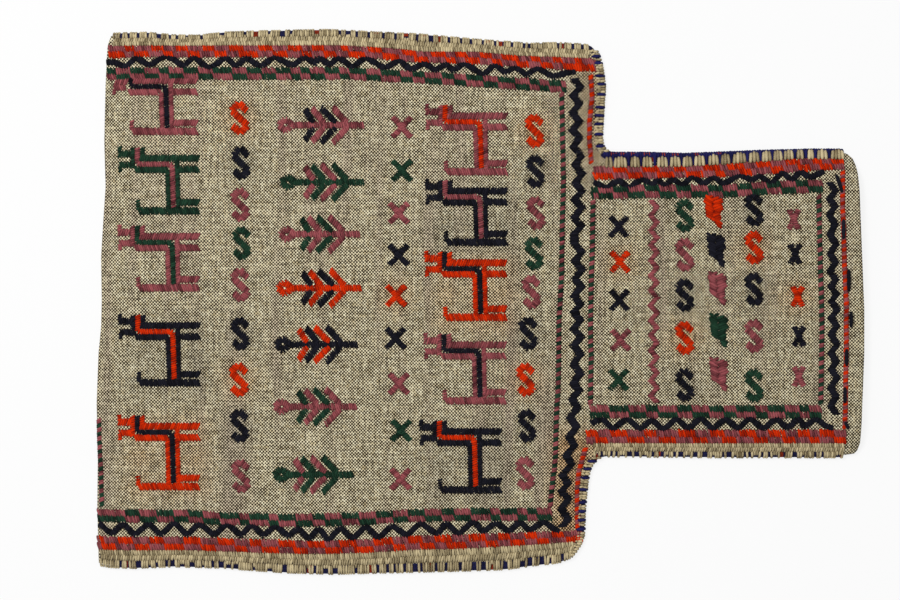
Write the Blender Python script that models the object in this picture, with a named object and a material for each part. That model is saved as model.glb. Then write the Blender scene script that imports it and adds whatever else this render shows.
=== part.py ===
"""Woven salt bag with a wide body and a narrower neck, lying flat on its back cloth.

The cloth is laid out first in plan, in straight "cloth" places (u, v): u runs from the base fold to the
mouth, v across the bag. lay() then gives each cloth place its place in space: the drift of the real edges,
the rounded corners, the crown of the front over the empty inside, and the turn round the base fold.
"""
import math

import bmesh
import bpy
from mathutils import Vector

MM = 0.001

# The whole bag
BODY_LENGTH = 0.397
NECK_LENGTH = 0.203
BODY_WIDTH = 0.427
NECK_WIDTH = 0.240
NECK_OFFSET = -0.002
NECK_EASE = 0.020

# The cloth and how it lies
CLOTH = 0.0018
CLEARANCE = 0.0003
EDGE_GAP = 0.0008
SEAM_GAP = 0.0006
FOLD_RADIUS = 0.0016
FOLD_STEPS = 6
CROWN = 0.0080
CROWN_REACH = 0.030
CROWN_STEPS = 3
TUCK = 0.020
HEM_WIDTH = 0.014
HEM_THICKNESS = 0.0014
HEM_END_GAP = 0.014
BODY_CORNER = 0.024
MOUTH_CORNER = 0.008
SMALL_CORNER = 0.006

# The overcast seams
SEAM_YARN = 0.0010
CREAM_BAND = 0.0115
LOWER_CREAM_BAND = 0.0150
TOOTH_REACH = 0.0052
TOOTH_PITCH = 0.0125
TOOTH_WIDTH = 0.0080
NECK_BAR_REACH = 0.0090
NECK_BAR_PITCH = 0.0098
SHOULDER_BAR_REACH = 0.0068
SHOULDER_BAR_PITCH = 0.0078
BAR_WIDTH = 0.0026
BAR_EDGE = 0.0030

# The brocaded yarns, which lie on the front cloth
YARN = 0.0008
YARN_CLEARANCE = 0.0006
ROW = 0.0044
DOTTED_LINE = 0.0044
BLOCK = 0.0125
BEAD_PITCH = 0.0105
LINK = 0.0010
ZIGZAG_STROKE = 0.0034
ZIGZAG_SWING = 0.0023
ZIGZAG_PITCH = 0.0225
ZIGZAG_ROOM = 0.0090
SIDE_ZIGZAG_SWING = 0.0036
SIDE_ZIGZAG_PITCH = 0.0155
SIDE_ZIGZAG_ROOM = 0.0134

# The figures
FIGURE_STROKE = 0.0042
INNER_STROKE = 0.0034
GOAT_HEAD_REACH = 0.041
GOAT_LEG_REACH = 0.0215
GOAT_TAIL_REACH = 0.0275
GOAT_HORN_RISE = 0.0125
GOAT_FLANK_SPREAD = 0.0040
TREE_LENGTH = 0.067
TREE_BRANCH_RISE = 0.0140
TREE_BRANCH_STROKE = 0.0042
TREE_BLOB = 0.0130
BRANCH_PAIRS = 4
HOOK_WIDTH = 0.0100
HOOK_HEIGHT = 0.0215
HOOK_STROKE = 0.0048
CROSS_WIDTH = 0.0170
CROSS_HEIGHT = 0.0175
NARROW_CROSS_WIDTH = 0.0090
LEAF_LENGTH = 0.0270
LEAF_WIDTH = 0.0110
WAVE_SWING = 0.0038
WAVE_PITCH = 0.0125
STITCH_LENGTH = 0.0110
STITCH_WIDTH = 0.0026

# How far the uneven base fold draws the cloth beside it along
FOLD_DRAW = 0.040

# How the meshes are made: the bend that counts as flat, the least room from a crease to a patch's side,
# sides that count as one, the step that a slope is read over, and the limit of a corner's mitre
FLAT_ANGLE = 0.003
SIDE_ROOM = 0.0006
SAME_SIDE = 0.00002
SLOPE_STEP = 0.0002
MITRE_LIMIT = 0.6

# Where the figures stand: shares of the body's or neck's length, and of half the width across
GOAT_COLUMNS = (0.150, 0.756)
GOAT_ROWS = ((0.758, 0.501, 0.216, -0.110, -0.478), (0.660, 0.384, 0.121, -0.182, -0.500))
GOAT_DROPS = ((0.0325, 0.0340, 0.0330, 0.0375, 0.0400), (0.0365, 0.0330, 0.0355, 0.0365, 0.0385))
TREE_COLUMN = 0.372
TREE_ROWS = (0.646, 0.437, 0.246, 0.049, -0.157, -0.385, -0.632)
HOOK_COLUMNS = (0.284, 0.862)
HOOK_ROWS = (0.670, 0.509, 0.354, 0.213, 0.061, -0.119, -0.287, -0.457, -0.640)
CROSS_COLUMN = 0.601
CROSS_ROWS = (0.637, 0.480, 0.322, 0.169, 0.021, -0.134, -0.306, -0.471, -0.646)
NECK_ROWS = (0.505, 0.275, 0.025, -0.235, -0.490)
NECK_FIGURE_ROWS = (0.545, 0.330, 0.060, -0.220, -0.525)
WAVE_COLUMN = 0.190
NECK_CROSS_COLUMN = 0.060
NECK_HOOK_COLUMNS = (0.305, 0.572)
LEAF_COLUMN = 0.425
NARROW_CROSS_COLUMN = 0.735
STITCH_ROWS = (0.79, 0.45, 0.19, -0.09, -0.33, -0.59, -0.79)

# How far the real edges stand in from the straight plan, read at even steps, in millimetres
UPPER_BODY_DRIFT = (3.5, 4.0, 2.6, 1.0, 0.0, 3.5, 8.2, 11.0, 13.0)
LOWER_BODY_DRIFT = (7.0, 6.2, 4.6, 1.2, 0.0, 1.5, 2.9, 6.8, 8.5)
BASE_DRIFT = (0.7, 0.2, 0.0, 0.3, 3.7, 4.5, 6.5, 6.5, 9.2)
SHOULDER_DRIFT = (16.0, 12.5, 5.5, 3.0, 1.5, 0.3, 0.3, 0.0, 3.0)
UPPER_NECK_DRIFT = (2.0, 2.0, 2.4, 1.0, -0.3, -0.8, -1.2)
LOWER_NECK_DRIFT = (0.8, 0.8, 1.0, 0.2, 0.2, 0.0, -0.3)
MOUTH_DRIFT = (2.2, 1.4, 0.2, 0.0, 0.8, 2.6, 4.2)

NATURAL = (0.62, 0.55, 0.40)
NAVY = (0.012, 0.012, 0.035)
ORANGE = (0.76, 0.045, 0.006)
MAROON = (0.24, 0.040, 0.055)
GREEN = (0.012, 0.048, 0.026)
COLOURS = {"natural": NATURAL, "navy": NAVY, "orange": ORANGE, "maroon": MAROON, "green": GREEN}

# Places that follow from the sizes
BASE_U = -(BODY_LENGTH + NECK_LENGTH) / 2
SHOULDER_U = BASE_U + BODY_LENGTH
MOUTH_U = SHOULDER_U + NECK_LENGTH
BODY_V = BODY_WIDTH / 2
NECK_TOP_V = NECK_OFFSET + NECK_WIDTH / 2
NECK_LOW_V = NECK_OFFSET - NECK_WIDTH / 2

EDGE_Z = CLOTH / 2 + 2 * FOLD_RADIUS
FOLD_U = BASE_U + FOLD_RADIUS + CLOTH / 2
LIP_INSET = SEAM_YARN + SEAM_GAP + CLOTH / 2
FRONT_INSET = LIP_INSET + CLOTH / 2 + EDGE_GAP
YARN_LIFT = CLOTH / 2 + YARN_CLEARANCE + YARN / 2
BORDER_LIFT = YARN_LIFT + CLEARANCE
SECOND_LIFT = BORDER_LIFT + YARN + YARN_CLEARANCE
SEAM_LIFT = CLOTH / 2 + SEAM_GAP + SEAM_YARN / 2
CROWN_STEP = CROWN_REACH / CROWN_STEPS

# Distances in from the bag's edge to the middle of each border
OUTER_IN = CREAM_BAND + ROW + CLEARANCE
LOWER_OUTER_IN = LOWER_CREAM_BAND + ROW + CLEARANCE
ZIGZAG_IN = OUTER_IN + ROW + ZIGZAG_ROOM / 2
LOWER_ZIGZAG_IN = LOWER_OUTER_IN + ROW + ZIGZAG_ROOM / 2
INNER_IN = ZIGZAG_IN + ZIGZAG_ROOM / 2 + ROW
LOWER_INNER_IN = LOWER_ZIGZAG_IN + ZIGZAG_ROOM / 2 + ROW
SIDE_OUTER_IN = SHOULDER_BAR_REACH + CLOTH + DOTTED_LINE / 2
SIDE_ZIGZAG_IN = SIDE_OUTER_IN + DOTTED_LINE / 2 + SIDE_ZIGZAG_ROOM / 2
SIDE_INNER_IN = SIDE_ZIGZAG_IN + SIDE_ZIGZAG_ROOM / 2 + DOTTED_LINE / 2
MOUTH_OUTER_IN = HEM_WIDTH + DOTTED_LINE / 2


def read_drift(values, share):
    """Evenly spaced drift values, joined by straight lines and read at a share of their run, in metres."""
    place = min(max(share, 0.0), 1.0) * (len(values) - 1)
    first = min(int(place), len(values) - 2)
    return (values[first] + (values[first + 1] - values[first]) * (place - first)) * MM


def between(low, high, value):
    return min(max((value - low) / (high - low), 0.0), 1.0)


def drift(u, v):
    """How far a cloth place is moved, so that the straight plan gets the real bag's crooked edges."""
    across = (v + BODY_V) / BODY_WIDTH
    neck_across = (v - NECK_LOW_V) / NECK_WIDTH
    shoulder_x = -read_drift(SHOULDER_DRIFT, across)
    body_share = between(BASE_U, SHOULDER_U, u)
    if u < SHOULDER_U:
        near_fold = 1 - between(FOLD_U, FOLD_U + FOLD_DRAW, u)
        x = read_drift(BASE_DRIFT, across) * near_fold + shoulder_x * body_share
    else:
        mouth_x = -read_drift(MOUTH_DRIFT, neck_across)
        x = shoulder_x + (mouth_x - shoulder_x) * between(SHOULDER_U, MOUTH_U, u)
    if v > 0:
        body_y = -read_drift(UPPER_BODY_DRIFT, body_share) * v / BODY_V
    else:
        body_y = -read_drift(LOWER_BODY_DRIFT, body_share) * v / BODY_V
    neck_share = between(SHOULDER_U, MOUTH_U, u)
    from_middle = (v - NECK_OFFSET) / (NECK_WIDTH / 2)
    if from_middle > 0:
        neck_y = -read_drift(UPPER_NECK_DRIFT, neck_share) * from_middle
    else:
        neck_y = -read_drift(LOWER_NECK_DRIFT, neck_share) * from_middle
    ease = between(SHOULDER_U, SHOULDER_U + NECK_EASE, u)
    return x, body_y + (neck_y - body_y) * ease


def rounded(u, v):
    """Pull the places near each outer corner in, so that its square outline turns into an arc."""
    corners = (
        (BASE_U, BODY_V, -1, 1, SMALL_CORNER),
        (BASE_U, -BODY_V, -1, -1, SMALL_CORNER),
        (SHOULDER_U, BODY_V, 1, 1, SMALL_CORNER),
        (SHOULDER_U, -BODY_V, 1, -1, BODY_CORNER),
        (MOUTH_U, NECK_TOP_V, 1, 1, MOUTH_CORNER),
        (MOUTH_U, NECK_LOW_V, 1, -1, MOUTH_CORNER),
    )
    for corner_u, corner_v, side_u, side_v, radius in corners:
        p = 1 - (corner_u - u) * side_u / radius
        q = 1 - (corner_v - v) * side_v / radius
        if 0 < p <= 1 and 0 < q <= 1:
            shared = (p * math.sqrt(1 - q * q / 2), q * math.sqrt(1 - p * p / 2))
            u = corner_u - (1 - shared[0]) * radius * side_u
            v = corner_v - (1 - shared[1]) * radius * side_v
    return u, v


def rise(distance):
    """Share of the crown at a distance in from a closed edge."""
    share = min(max(distance / CROWN_REACH, 0.0), 1.0)
    return 1 - (1 - share) ** 2


def crown(u, v):
    """Height of the front cloth over its height at the closed edges."""
    past_shoulder = max(SHOULDER_U - FRONT_INSET - u, 0.0)
    above = max(NECK_TOP_V - FRONT_INSET - v, 0.0)
    below = max(v - NECK_LOW_V - FRONT_INSET, 0.0)
    height = CROWN * rise(u - FOLD_U)
    height *= rise(BODY_V - FRONT_INSET - abs(v))
    height *= rise(math.hypot(past_shoulder, above))
    height *= rise(math.hypot(past_shoulder, below))
    return height


def surface(u, v):
    """A cloth place's place in space, on the middle of the front cloth."""
    flat_u, flat_v = rounded(max(u, BASE_U), v)
    x, y = drift(flat_u, flat_v)
    y += flat_v
    before_fold = FOLD_U - u
    if before_fold <= 0:
        return Vector((flat_u + x, y, EDGE_Z + crown(u, v)))
    turn = before_fold / FOLD_RADIUS
    if turn < math.pi:
        fold_x = FOLD_U + x - FOLD_RADIUS * math.sin(turn)
        return Vector((fold_x, y, EDGE_Z - FOLD_RADIUS * (1 - math.cos(turn))))
    tuck_u = FOLD_U + before_fold - math.pi * FOLD_RADIUS
    x, y = drift(tuck_u, flat_v)
    return Vector((tuck_u + x, flat_v + y, CLOTH / 2))


def lay(u, v, height=0.0):
    """A place on the front cloth, at a height out from its middle, square to the cloth."""
    along = surface(u + SLOPE_STEP, v) - surface(u - SLOPE_STEP, v)
    across = surface(u, v + SLOPE_STEP) - surface(u, v - SLOPE_STEP)
    normal = along.cross(across)
    normal.normalize()
    return surface(u, v) + normal * height


def level(u, v, z):
    """A place over cloth place (u, v), at a stated height above the ground."""
    flat_u, flat_v = rounded(u, v)
    x, y = drift(flat_u, flat_v)
    return Vector((flat_u + x, flat_v + y, z))


def creases(low, high, lines):
    """The lines between low and high where the cloth's slope changes."""
    return [line for line in lines if low < line < high]


def crease_lines():
    steps = [CROWN_STEP * index for index in range(CROWN_STEPS + 1)]
    across = [FOLD_U + step for step in steps]
    across += [SHOULDER_U - FRONT_INSET - step for step in steps]
    across += [MOUTH_U - MOUTH_CORNER, MOUTH_U - MOUTH_CORNER / 2, SHOULDER_U, SHOULDER_U + NECK_EASE]
    across += [FOLD_U + FOLD_DRAW]
    upright = []
    for step in steps:
        upright += [BODY_V - FRONT_INSET - step, FRONT_INSET + step - BODY_V]
        upright += [NECK_TOP_V - FRONT_INSET - step, NECK_LOW_V + FRONT_INSET + step]
    return sorted(across), sorted(upright)


def stations(values, low, high):
    """Where the drift's straight pieces meet."""
    last = len(values) - 1
    return [low + (high - low) * index / last for index in range(1, last)]


CREASES_U, CREASES_V = crease_lines()
DRIFT_U = stations(UPPER_BODY_DRIFT, BASE_U, SHOULDER_U) + stations(UPPER_NECK_DRIFT, SHOULDER_U, MOUTH_U)
DRIFT_V = stations(BASE_DRIFT, -BODY_V, BODY_V) + stations(MOUTH_DRIFT, NECK_LOW_V, NECK_TOP_V)


def merged(lines, least):
    """Sorted lines, without those that almost repeat the one before."""
    kept = []
    for line in sorted(lines):
        if not kept or line - kept[-1] > least:
            kept.append(line)
    return kept


def with_creases(sides, lines):
    """The sides of a patch's bars, and each crease between them that isn't almost on one."""
    far = [line for line in creases(min(sides), max(sides), lines)
           if min(abs(line - side) for side in sides) > SIDE_ROOM]
    return merged(sides, SAME_SIDE) + far


def patch_of_bars(bars, extra_u=(), extra_v=()):
    """One patch that covers every bar (u0, v0, u1, v1), as quads that share their corners."""
    ends_u = [end for bar in bars for end in (bar[0], bar[2])]
    ends_v = [end for bar in bars for end in (bar[1], bar[3])]
    lines_u = sorted(with_creases(ends_u + list(extra_u), CREASES_U))
    lines_v = sorted(with_creases(ends_v + list(extra_v), CREASES_V))
    places = []
    faces = []
    index = {}

    def corner(i, j):
        if (i, j) not in index:
            index[(i, j)] = len(places)
            places.append((lines_u[i], lines_v[j]))
        return index[(i, j)]

    for i in range(len(lines_u) - 1):
        middle_u = (lines_u[i] + lines_u[i + 1]) / 2
        column = [bar for bar in bars if bar[0] < middle_u < bar[2]]
        for j in range(len(lines_v) - 1):
            middle_v = (lines_v[j] + lines_v[j + 1]) / 2
            if any(bar[1] < middle_v < bar[3] for bar in column):
                faces.append((corner(i, j), corner(i + 1, j), corner(i + 1, j + 1), corner(i, j + 1)))
    return places, faces


def ribbon(points, widths):
    """A patch along a line of points, with its corners mitred. widths is one width or one for each point."""
    if not isinstance(widths, (list, tuple)):
        widths = [widths] * len(points)
    places = []
    last = len(points) - 1
    for i, point in enumerate(points):
        here = Vector(point)
        ahead = (Vector(points[min(i + 1, last)]) - here).normalized() if i < last else None
        behind = (here - Vector(points[max(i - 1, 0)])).normalized() if i > 0 else ahead
        ahead = ahead or behind
        heading = (ahead + behind).normalized()
        side = Vector((-heading.y, heading.x))
        reach = widths[i] / 2 / max(heading.dot(ahead), MITRE_LIMIT)
        places.append(tuple(here - side * reach))
        places.append(tuple(here + side * reach))
    faces = [(2 * i, 2 * i + 2, 2 * i + 3, 2 * i + 1) for i in range(last)]
    return places, faces


def add_patches(mesh, patches, height):
    """Lay patches on the front cloth as one mesh of thin surfaces."""
    for places, faces in patches:
        points = [mesh.verts.new(lay(u, v, height)) for u, v in places]
        for face in faces:
            mesh.faces.new([points[index] for index in face])


def wool(name, colour):
    """The object's own wool, as dull as handspun yarn."""
    material = bpy.data.materials.new(name + "_wool")
    material.use_nodes = True
    shader = material.node_tree.nodes["Principled BSDF"]
    shader.inputs["Base Color"].default_value = (*COLOURS[colour], 1.0)
    shader.inputs["Roughness"].default_value = 0.9
    shader.inputs["Metallic"].default_value = 0.0
    return material


def make_object(name, mesh, colour):
    """An object from a mesh, with the faces that lie in one plane joined."""
    mesh.normal_update()
    bmesh.ops.dissolve_limit(mesh, angle_limit=FLAT_ANGLE, verts=mesh.verts, edges=mesh.edges)
    bmesh.ops.recalc_face_normals(mesh, faces=mesh.faces)
    data = bpy.data.meshes.new(name)
    mesh.to_mesh(data)
    mesh.free()
    piece = bpy.data.objects.new(name, data)
    bpy.context.scene.collection.objects.link(piece)
    data.materials.append(wool(name, colour))
    return piece


def cloth_object(name, mesh, thickness, colour):
    """An object from a thin surface, thickened evenly to both sides."""
    piece = make_object(name, mesh, colour)
    solid = piece.modifiers.new("thickness", "SOLIDIFY")
    solid.thickness = thickness
    solid.offset = 0.0
    solid.use_even_offset = True
    return piece


def yarn(name, patches, colour, lift=YARN_LIFT, thickness=YARN):
    """Brocaded yarn that lies on the front cloth."""
    mesh = bmesh.new()
    add_patches(mesh, patches, lift)
    return cloth_object(name, mesh, thickness, colour)


def terraces(name, patch, tiers, colour):
    """A solid that stands on the ground over a patch and rises in level steps.

    tiers lists (height, bars) from the lowest step up: the patch's cells inside a tier's bars rise to it.
    """
    places, faces = patch
    heights = [0.0] + [height for height, bars in tiers]
    mesh = bmesh.new()
    points = {}

    def point(corner, step):
        if (corner, step) not in points:
            points[(corner, step)] = mesh.verts.new(level(*places[corner], heights[step]))
        return points[(corner, step)]

    tops = {}
    for face in faces:
        middle_u = sum(places[corner][0] for corner in face) / len(face)
        middle_v = sum(places[corner][1] for corner in face) / len(face)
        step = 0
        for index, (height, bars) in enumerate(tiers):
            if any(bar[0] < middle_u < bar[2] and bar[1] < middle_v < bar[3] for bar in bars):
                step = index + 1
        for near, far in zip(face, face[1:] + face[:1]):
            tops[(near, far)] = step
        mesh.faces.new([point(corner, step) for corner in face])
        mesh.faces.new([point(corner, 0) for corner in reversed(face)])
    for (near, far), step in tops.items():
        for low in range(tops.get((far, near), 0), step):
            mesh.faces.new((point(near, low), point(far, low), point(far, low + 1), point(near, low + 1)))
    return make_object(name, mesh, colour)


def fuse(carrier, guide):
    """Make a guide's solid one with its carrier."""
    guide.hide_render = True
    guide.display_type = "WIRE"
    union = carrier.modifiers.new(guide.name, "BOOLEAN")
    union.operation = "UNION"
    union.solver = "EXACT"
    union.object = guide


def body_u(share):
    return BASE_U + share * BODY_LENGTH


def neck_u(share):
    return SHOULDER_U + share * NECK_LENGTH


def neck_v(share):
    return NECK_OFFSET + share * NECK_WIDTH / 2


def front_bars(inset):
    """The front cloth's plan: the body with its turn round the base, and the neck."""
    under = math.pi * FOLD_RADIUS + TUCK
    return [
        (FOLD_U - under, -BODY_V + inset, SHOULDER_U - inset, BODY_V - inset),
        (FOLD_U - under, NECK_LOW_V + inset, MOUTH_U, NECK_TOP_V - inset),
    ]


def panel_patch(bars, extra_u=(), extra_v=()):
    """A patch that follows the drift of the bag's edges."""
    low_u = min(bar[0] for bar in bars)
    high_u = max(bar[2] for bar in bars)
    low_v = min(bar[1] for bar in bars)
    high_v = max(bar[3] for bar in bars)
    lines_u = [line for line in DRIFT_U if low_u < line < high_u]
    lines_v = [line for line in DRIFT_V if low_v < line < high_v]
    return patch_of_bars(bars, lines_u + list(extra_u), lines_v + list(extra_v))


def make_front_panel():
    turn = [FOLD_U - math.pi * FOLD_RADIUS * step / FOLD_STEPS for step in range(FOLD_STEPS + 1)]
    mesh = bmesh.new()
    add_patches(mesh, [panel_patch(front_bars(FRONT_INSET), turn)], 0.0)
    return cloth_object("front_panel", mesh, CLOTH, "natural")


def make_back_panel():
    """The back cloth lies flat. Its edges turn up against the front cloth's, and its mouth is turned in."""
    start = FOLD_U + TUCK + CLEARANCE
    inset = SEAM_YARN + SEAM_GAP
    top = BODY_V - inset
    neck_top = NECK_TOP_V - inset
    neck_low = NECK_LOW_V + inset
    shoulder = SHOULDER_U - inset
    plan = [(start, -top, shoulder, top), (start, neck_low, MOUTH_U, neck_top)]
    lips = [
        (start, top - CLOTH, shoulder, top),
        (shoulder - CLOTH, neck_top - CLOTH, shoulder, top),
        (shoulder - CLOTH, neck_top - CLOTH, MOUTH_U, neck_top),
        (shoulder - CLOTH, neck_low, MOUTH_U, neck_low + CLOTH),
        (shoulder - CLOTH, -top, shoulder, neck_low + CLOTH),
        (start, -top, shoulder, CLOTH - top),
    ]
    tiers = [(CLOTH, plan), (CLOTH + HEM_THICKNESS, hem_bars()), (EDGE_Z + CLOTH / 2, lips)]
    lines = [line for bar in hem_bars() + lips for line in (bar[0], bar[2])]
    rows = [line for bar in hem_bars() + lips for line in (bar[1], bar[3])]
    return terraces("back_panel", panel_patch(plan, lines, rows), tiers, "navy")


def hem_bars():
    """The turned-in hem at the mouth, which stops short of the side seams."""
    return [(MOUTH_U - HEM_WIDTH, NECK_LOW_V + HEM_END_GAP, MOUTH_U, NECK_TOP_V - HEM_END_GAP)]


def hem_the_front(front):
    """The front cloth is turned in at the mouth, which thickens its inner side."""
    low_u, low_v, high_u, high_v = hem_bars()[0]
    reach = HEM_THICKNESS + CLOTH / 2
    patch = panel_patch([(low_u, low_v, high_u - CLEARANCE, high_v)])
    fuse(front, yarn("front_hem", [patch], "natural", -reach / 2 - CLOTH / 4, reach))


class Edge:
    """A straight run of the bag's outline in cloth places, walked with the bag's inside to one side."""

    def __init__(self, start, end, inward):
        self.start = Vector(start)
        self.end = Vector(end)
        self.inward = Vector(inward)
        self.length = (self.end - self.start).length

    def place(self, along, depth):
        spot = self.start + (self.end - self.start) * (along / self.length) + self.inward * depth
        return spot.x, spot.y


def tooth_ends(length, pitch, width):
    """Distances along a seam where its teeth start and end in turn."""
    count = max(int(length / pitch), 2)
    real_pitch = (length - width) / (count - 1)
    ends = []
    for index in range(count):
        ends += [index * real_pitch, index * real_pitch + width]
    return ends


def make_seam(name, edge, colour, rows, whole_rows, pitch, width, link_z=None):
    """An overcast seam: yarn that lies on the front cloth and turns down over the bag's edge.

    rows lists the seam's section from its inner side outwards, as depths in from the edge on top of the
    cloth. Its outer side follows, down to the foot, with a line at link_z if the yarn links there.
    whole_rows are the strips that run on between the teeth.
    """
    ends = tooth_ends(edge.length, pitch, width)
    mesh = bmesh.new()
    lines = []
    outer = SEAM_YARN / 2
    top = EDGE_Z + SEAM_LIFT
    foot = CLOTH / 2
    for along in ends:
        line = []
        for depth in rows:
            if depth > FRONT_INSET:
                line.append(lay(*edge.place(along, depth), SEAM_LIFT))
            else:
                line.append(level(*edge.place(along, max(depth, outer)), top))
        if link_z is not None:
            line.append(level(*edge.place(along, outer), link_z))
        line.append(level(*edge.place(along, outer), foot))
        lines.append([mesh.verts.new(point) for point in line])
    for index in range(len(lines) - 1):
        for row in range(len(lines[0]) - 1):
            if index % 2 == 0 or row in whole_rows:
                near = lines[index]
                far = lines[index + 1]
                mesh.faces.new((near[row], far[row], far[row + 1], near[row + 1]))
    loose = [vert for vert in mesh.verts if not vert.link_faces]
    bmesh.ops.delete(mesh, geom=loose, context="VERTS")
    return cloth_object(name, mesh, SEAM_YARN, colour)


def cream_rows(band):
    return (band, (band + TOOTH_REACH) / 2, TOOTH_REACH, SEAM_YARN / 2)


def make_seams():
    """The six runs of overcasting, each on its own edge, with a small clearance at the corners."""
    gap = CLEARANCE + SEAM_YARN
    start_u = BASE_U + 2 * SMALL_CORNER
    upper = Edge((start_u, BODY_V), (SHOULDER_U - SMALL_CORNER, BODY_V), (0, -1))
    lower = Edge((start_u, -BODY_V), (SHOULDER_U - BODY_CORNER, -BODY_V), (0, 1))
    make_seam("upper_body_seam", upper, "natural", cream_rows(CREAM_BAND), (0, 1), TOOTH_PITCH, TOOTH_WIDTH)
    lower_rows = cream_rows(LOWER_CREAM_BAND)
    make_seam("lower_body_seam", lower, "natural", lower_rows, (0, 1), TOOTH_PITCH, TOOTH_WIDTH)
    bar_rows = (SHOULDER_BAR_REACH, SEAM_YARN / 2)
    top = Edge((SHOULDER_U, NECK_TOP_V + gap), (SHOULDER_U, BODY_V - CREAM_BAND - gap), (-1, 0))
    low = Edge((SHOULDER_U, NECK_LOW_V - gap), (SHOULDER_U, BODY_CORNER - BODY_V), (-1, 0))
    make_seam("upper_shoulder_seam", top, "navy", bar_rows, (2,), SHOULDER_BAR_PITCH, BAR_WIDTH, EDGE_Z / 2)
    make_seam("lower_shoulder_seam", low, "navy", bar_rows, (2,), SHOULDER_BAR_PITCH, BAR_WIDTH, EDGE_Z / 2)
    neck_start = SHOULDER_U + gap
    neck_end = MOUTH_U - MOUTH_CORNER
    neck_top = Edge((neck_start, NECK_TOP_V), (neck_end, NECK_TOP_V), (0, -1))
    neck_low = Edge((neck_start, NECK_LOW_V), (neck_end, NECK_LOW_V), (0, 1))
    neck_rows = (NECK_BAR_REACH, BAR_EDGE, SEAM_YARN / 2)
    make_seam("upper_neck_seam", neck_top, "navy", neck_rows, (1, 2), NECK_BAR_PITCH, BAR_WIDTH)
    make_seam("lower_neck_seam", neck_low, "natural", cream_rows(CREAM_BAND), (0, 1), TOOTH_PITCH, TOOTH_WIDTH)


def cuts(low, high, pitch):
    """The ends of equal blocks that fill low to high."""
    count = max(round((high - low) / pitch), 2)
    return [low + (high - low) * index / count for index in range(count + 1)]


def strip(rails):
    """A patch between pairs of places, the left and the right rail of a run."""
    places = [place for pair in rails for place in pair]
    return places, [(2 * i, 2 * i + 1, 2 * i + 3, 2 * i + 2) for i in range(len(rails) - 1)]


def block_rails(start_u, end_u, middle_v, pitch, upper_first):
    """Rails of a run of blocks that steps from one row to the other, walked from start_u to end_u."""
    heading = 1 if end_u > start_u else -1
    ends = cuts(min(start_u, end_u), max(start_u, end_u), pitch)
    ends = ends[::heading]
    rails = []
    for index in range(len(ends) - 1):
        upper = (index % 2 == 0) == upper_first
        row_v = middle_v + (ROW / 2 if upper else -ROW / 2)
        near = ends[index] + (LINK * heading if index else 0.0)
        far = ends[index + 1] - (LINK * heading if index < len(ends) - 2 else 0.0)
        for u in (near, far):
            rails.append(((u, row_v + heading * ROW / 2), (u, row_v - heading * ROW / 2)))
    return rails


def bead_rails(start_v, end_v, middle_u):
    """Rails of a dotted upright line, walked from start_v to end_v."""
    heading = 1 if end_v > start_v else -1
    ends = cuts(min(start_v, end_v), max(start_v, end_v), BEAD_PITCH)
    ends = ends[::heading]
    rails = []
    for index in range(len(ends) - 1):
        middle_v = (ends[index] + ends[index + 1]) / 2
        for v, half in ((ends[index], LINK / 2), (middle_v, DOTTED_LINE / 2)):
            rails.append(((middle_u - heading * half, v), (middle_u + heading * half, v)))
    return rails


def zigzag(start, end, swing, pitch):
    """Points that swing to both sides of a straight line, from end to end of it."""
    start = Vector(start)
    end = Vector(end)
    heading = (end - start).normalized()
    side = Vector((-heading.y, heading.x))
    count = max(round((end - start).length / (pitch / 2)), 2)
    points = []
    for index in range(count + 1):
        swung = swing if index % 2 == 0 else -swing
        if index in (0, count):
            swung = 0.0
        points.append(tuple(start.lerp(end, index / count) + side * swung))
    return points


class Borders:
    """The border lines of the bag, by their middles."""

    left = FOLD_U + CLEARANCE
    body_top_outer = BODY_V - OUTER_IN
    body_low_outer = LOWER_OUTER_IN - BODY_V
    neck_top_outer = NECK_TOP_V - OUTER_IN
    neck_low_outer = NECK_LOW_V + OUTER_IN
    side_outer = SHOULDER_U - SIDE_OUTER_IN
    mouth_outer = MOUTH_U - MOUTH_OUTER_IN
    body_top_zigzag = BODY_V - ZIGZAG_IN
    body_low_zigzag = LOWER_ZIGZAG_IN - BODY_V
    side_zigzag = SHOULDER_U - SIDE_ZIGZAG_IN
    neck_top_zigzag = NECK_TOP_V - ZIGZAG_IN
    neck_low_zigzag = NECK_LOW_V + ZIGZAG_IN
    mouth_zigzag = mouth_outer - DOTTED_LINE / 2 - SIDE_ZIGZAG_ROOM / 2
    body_top_inner = BODY_V - INNER_IN
    body_low_inner = LOWER_INNER_IN - BODY_V
    side_inner = SHOULDER_U - SIDE_INNER_IN
    neck_top_inner = NECK_TOP_V - INNER_IN
    neck_low_inner = NECK_LOW_V + INNER_IN
    mouth_inner = mouth_zigzag - SIDE_ZIGZAG_ROOM / 2 - DOTTED_LINE / 2
    neck_side = side_outer


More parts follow.
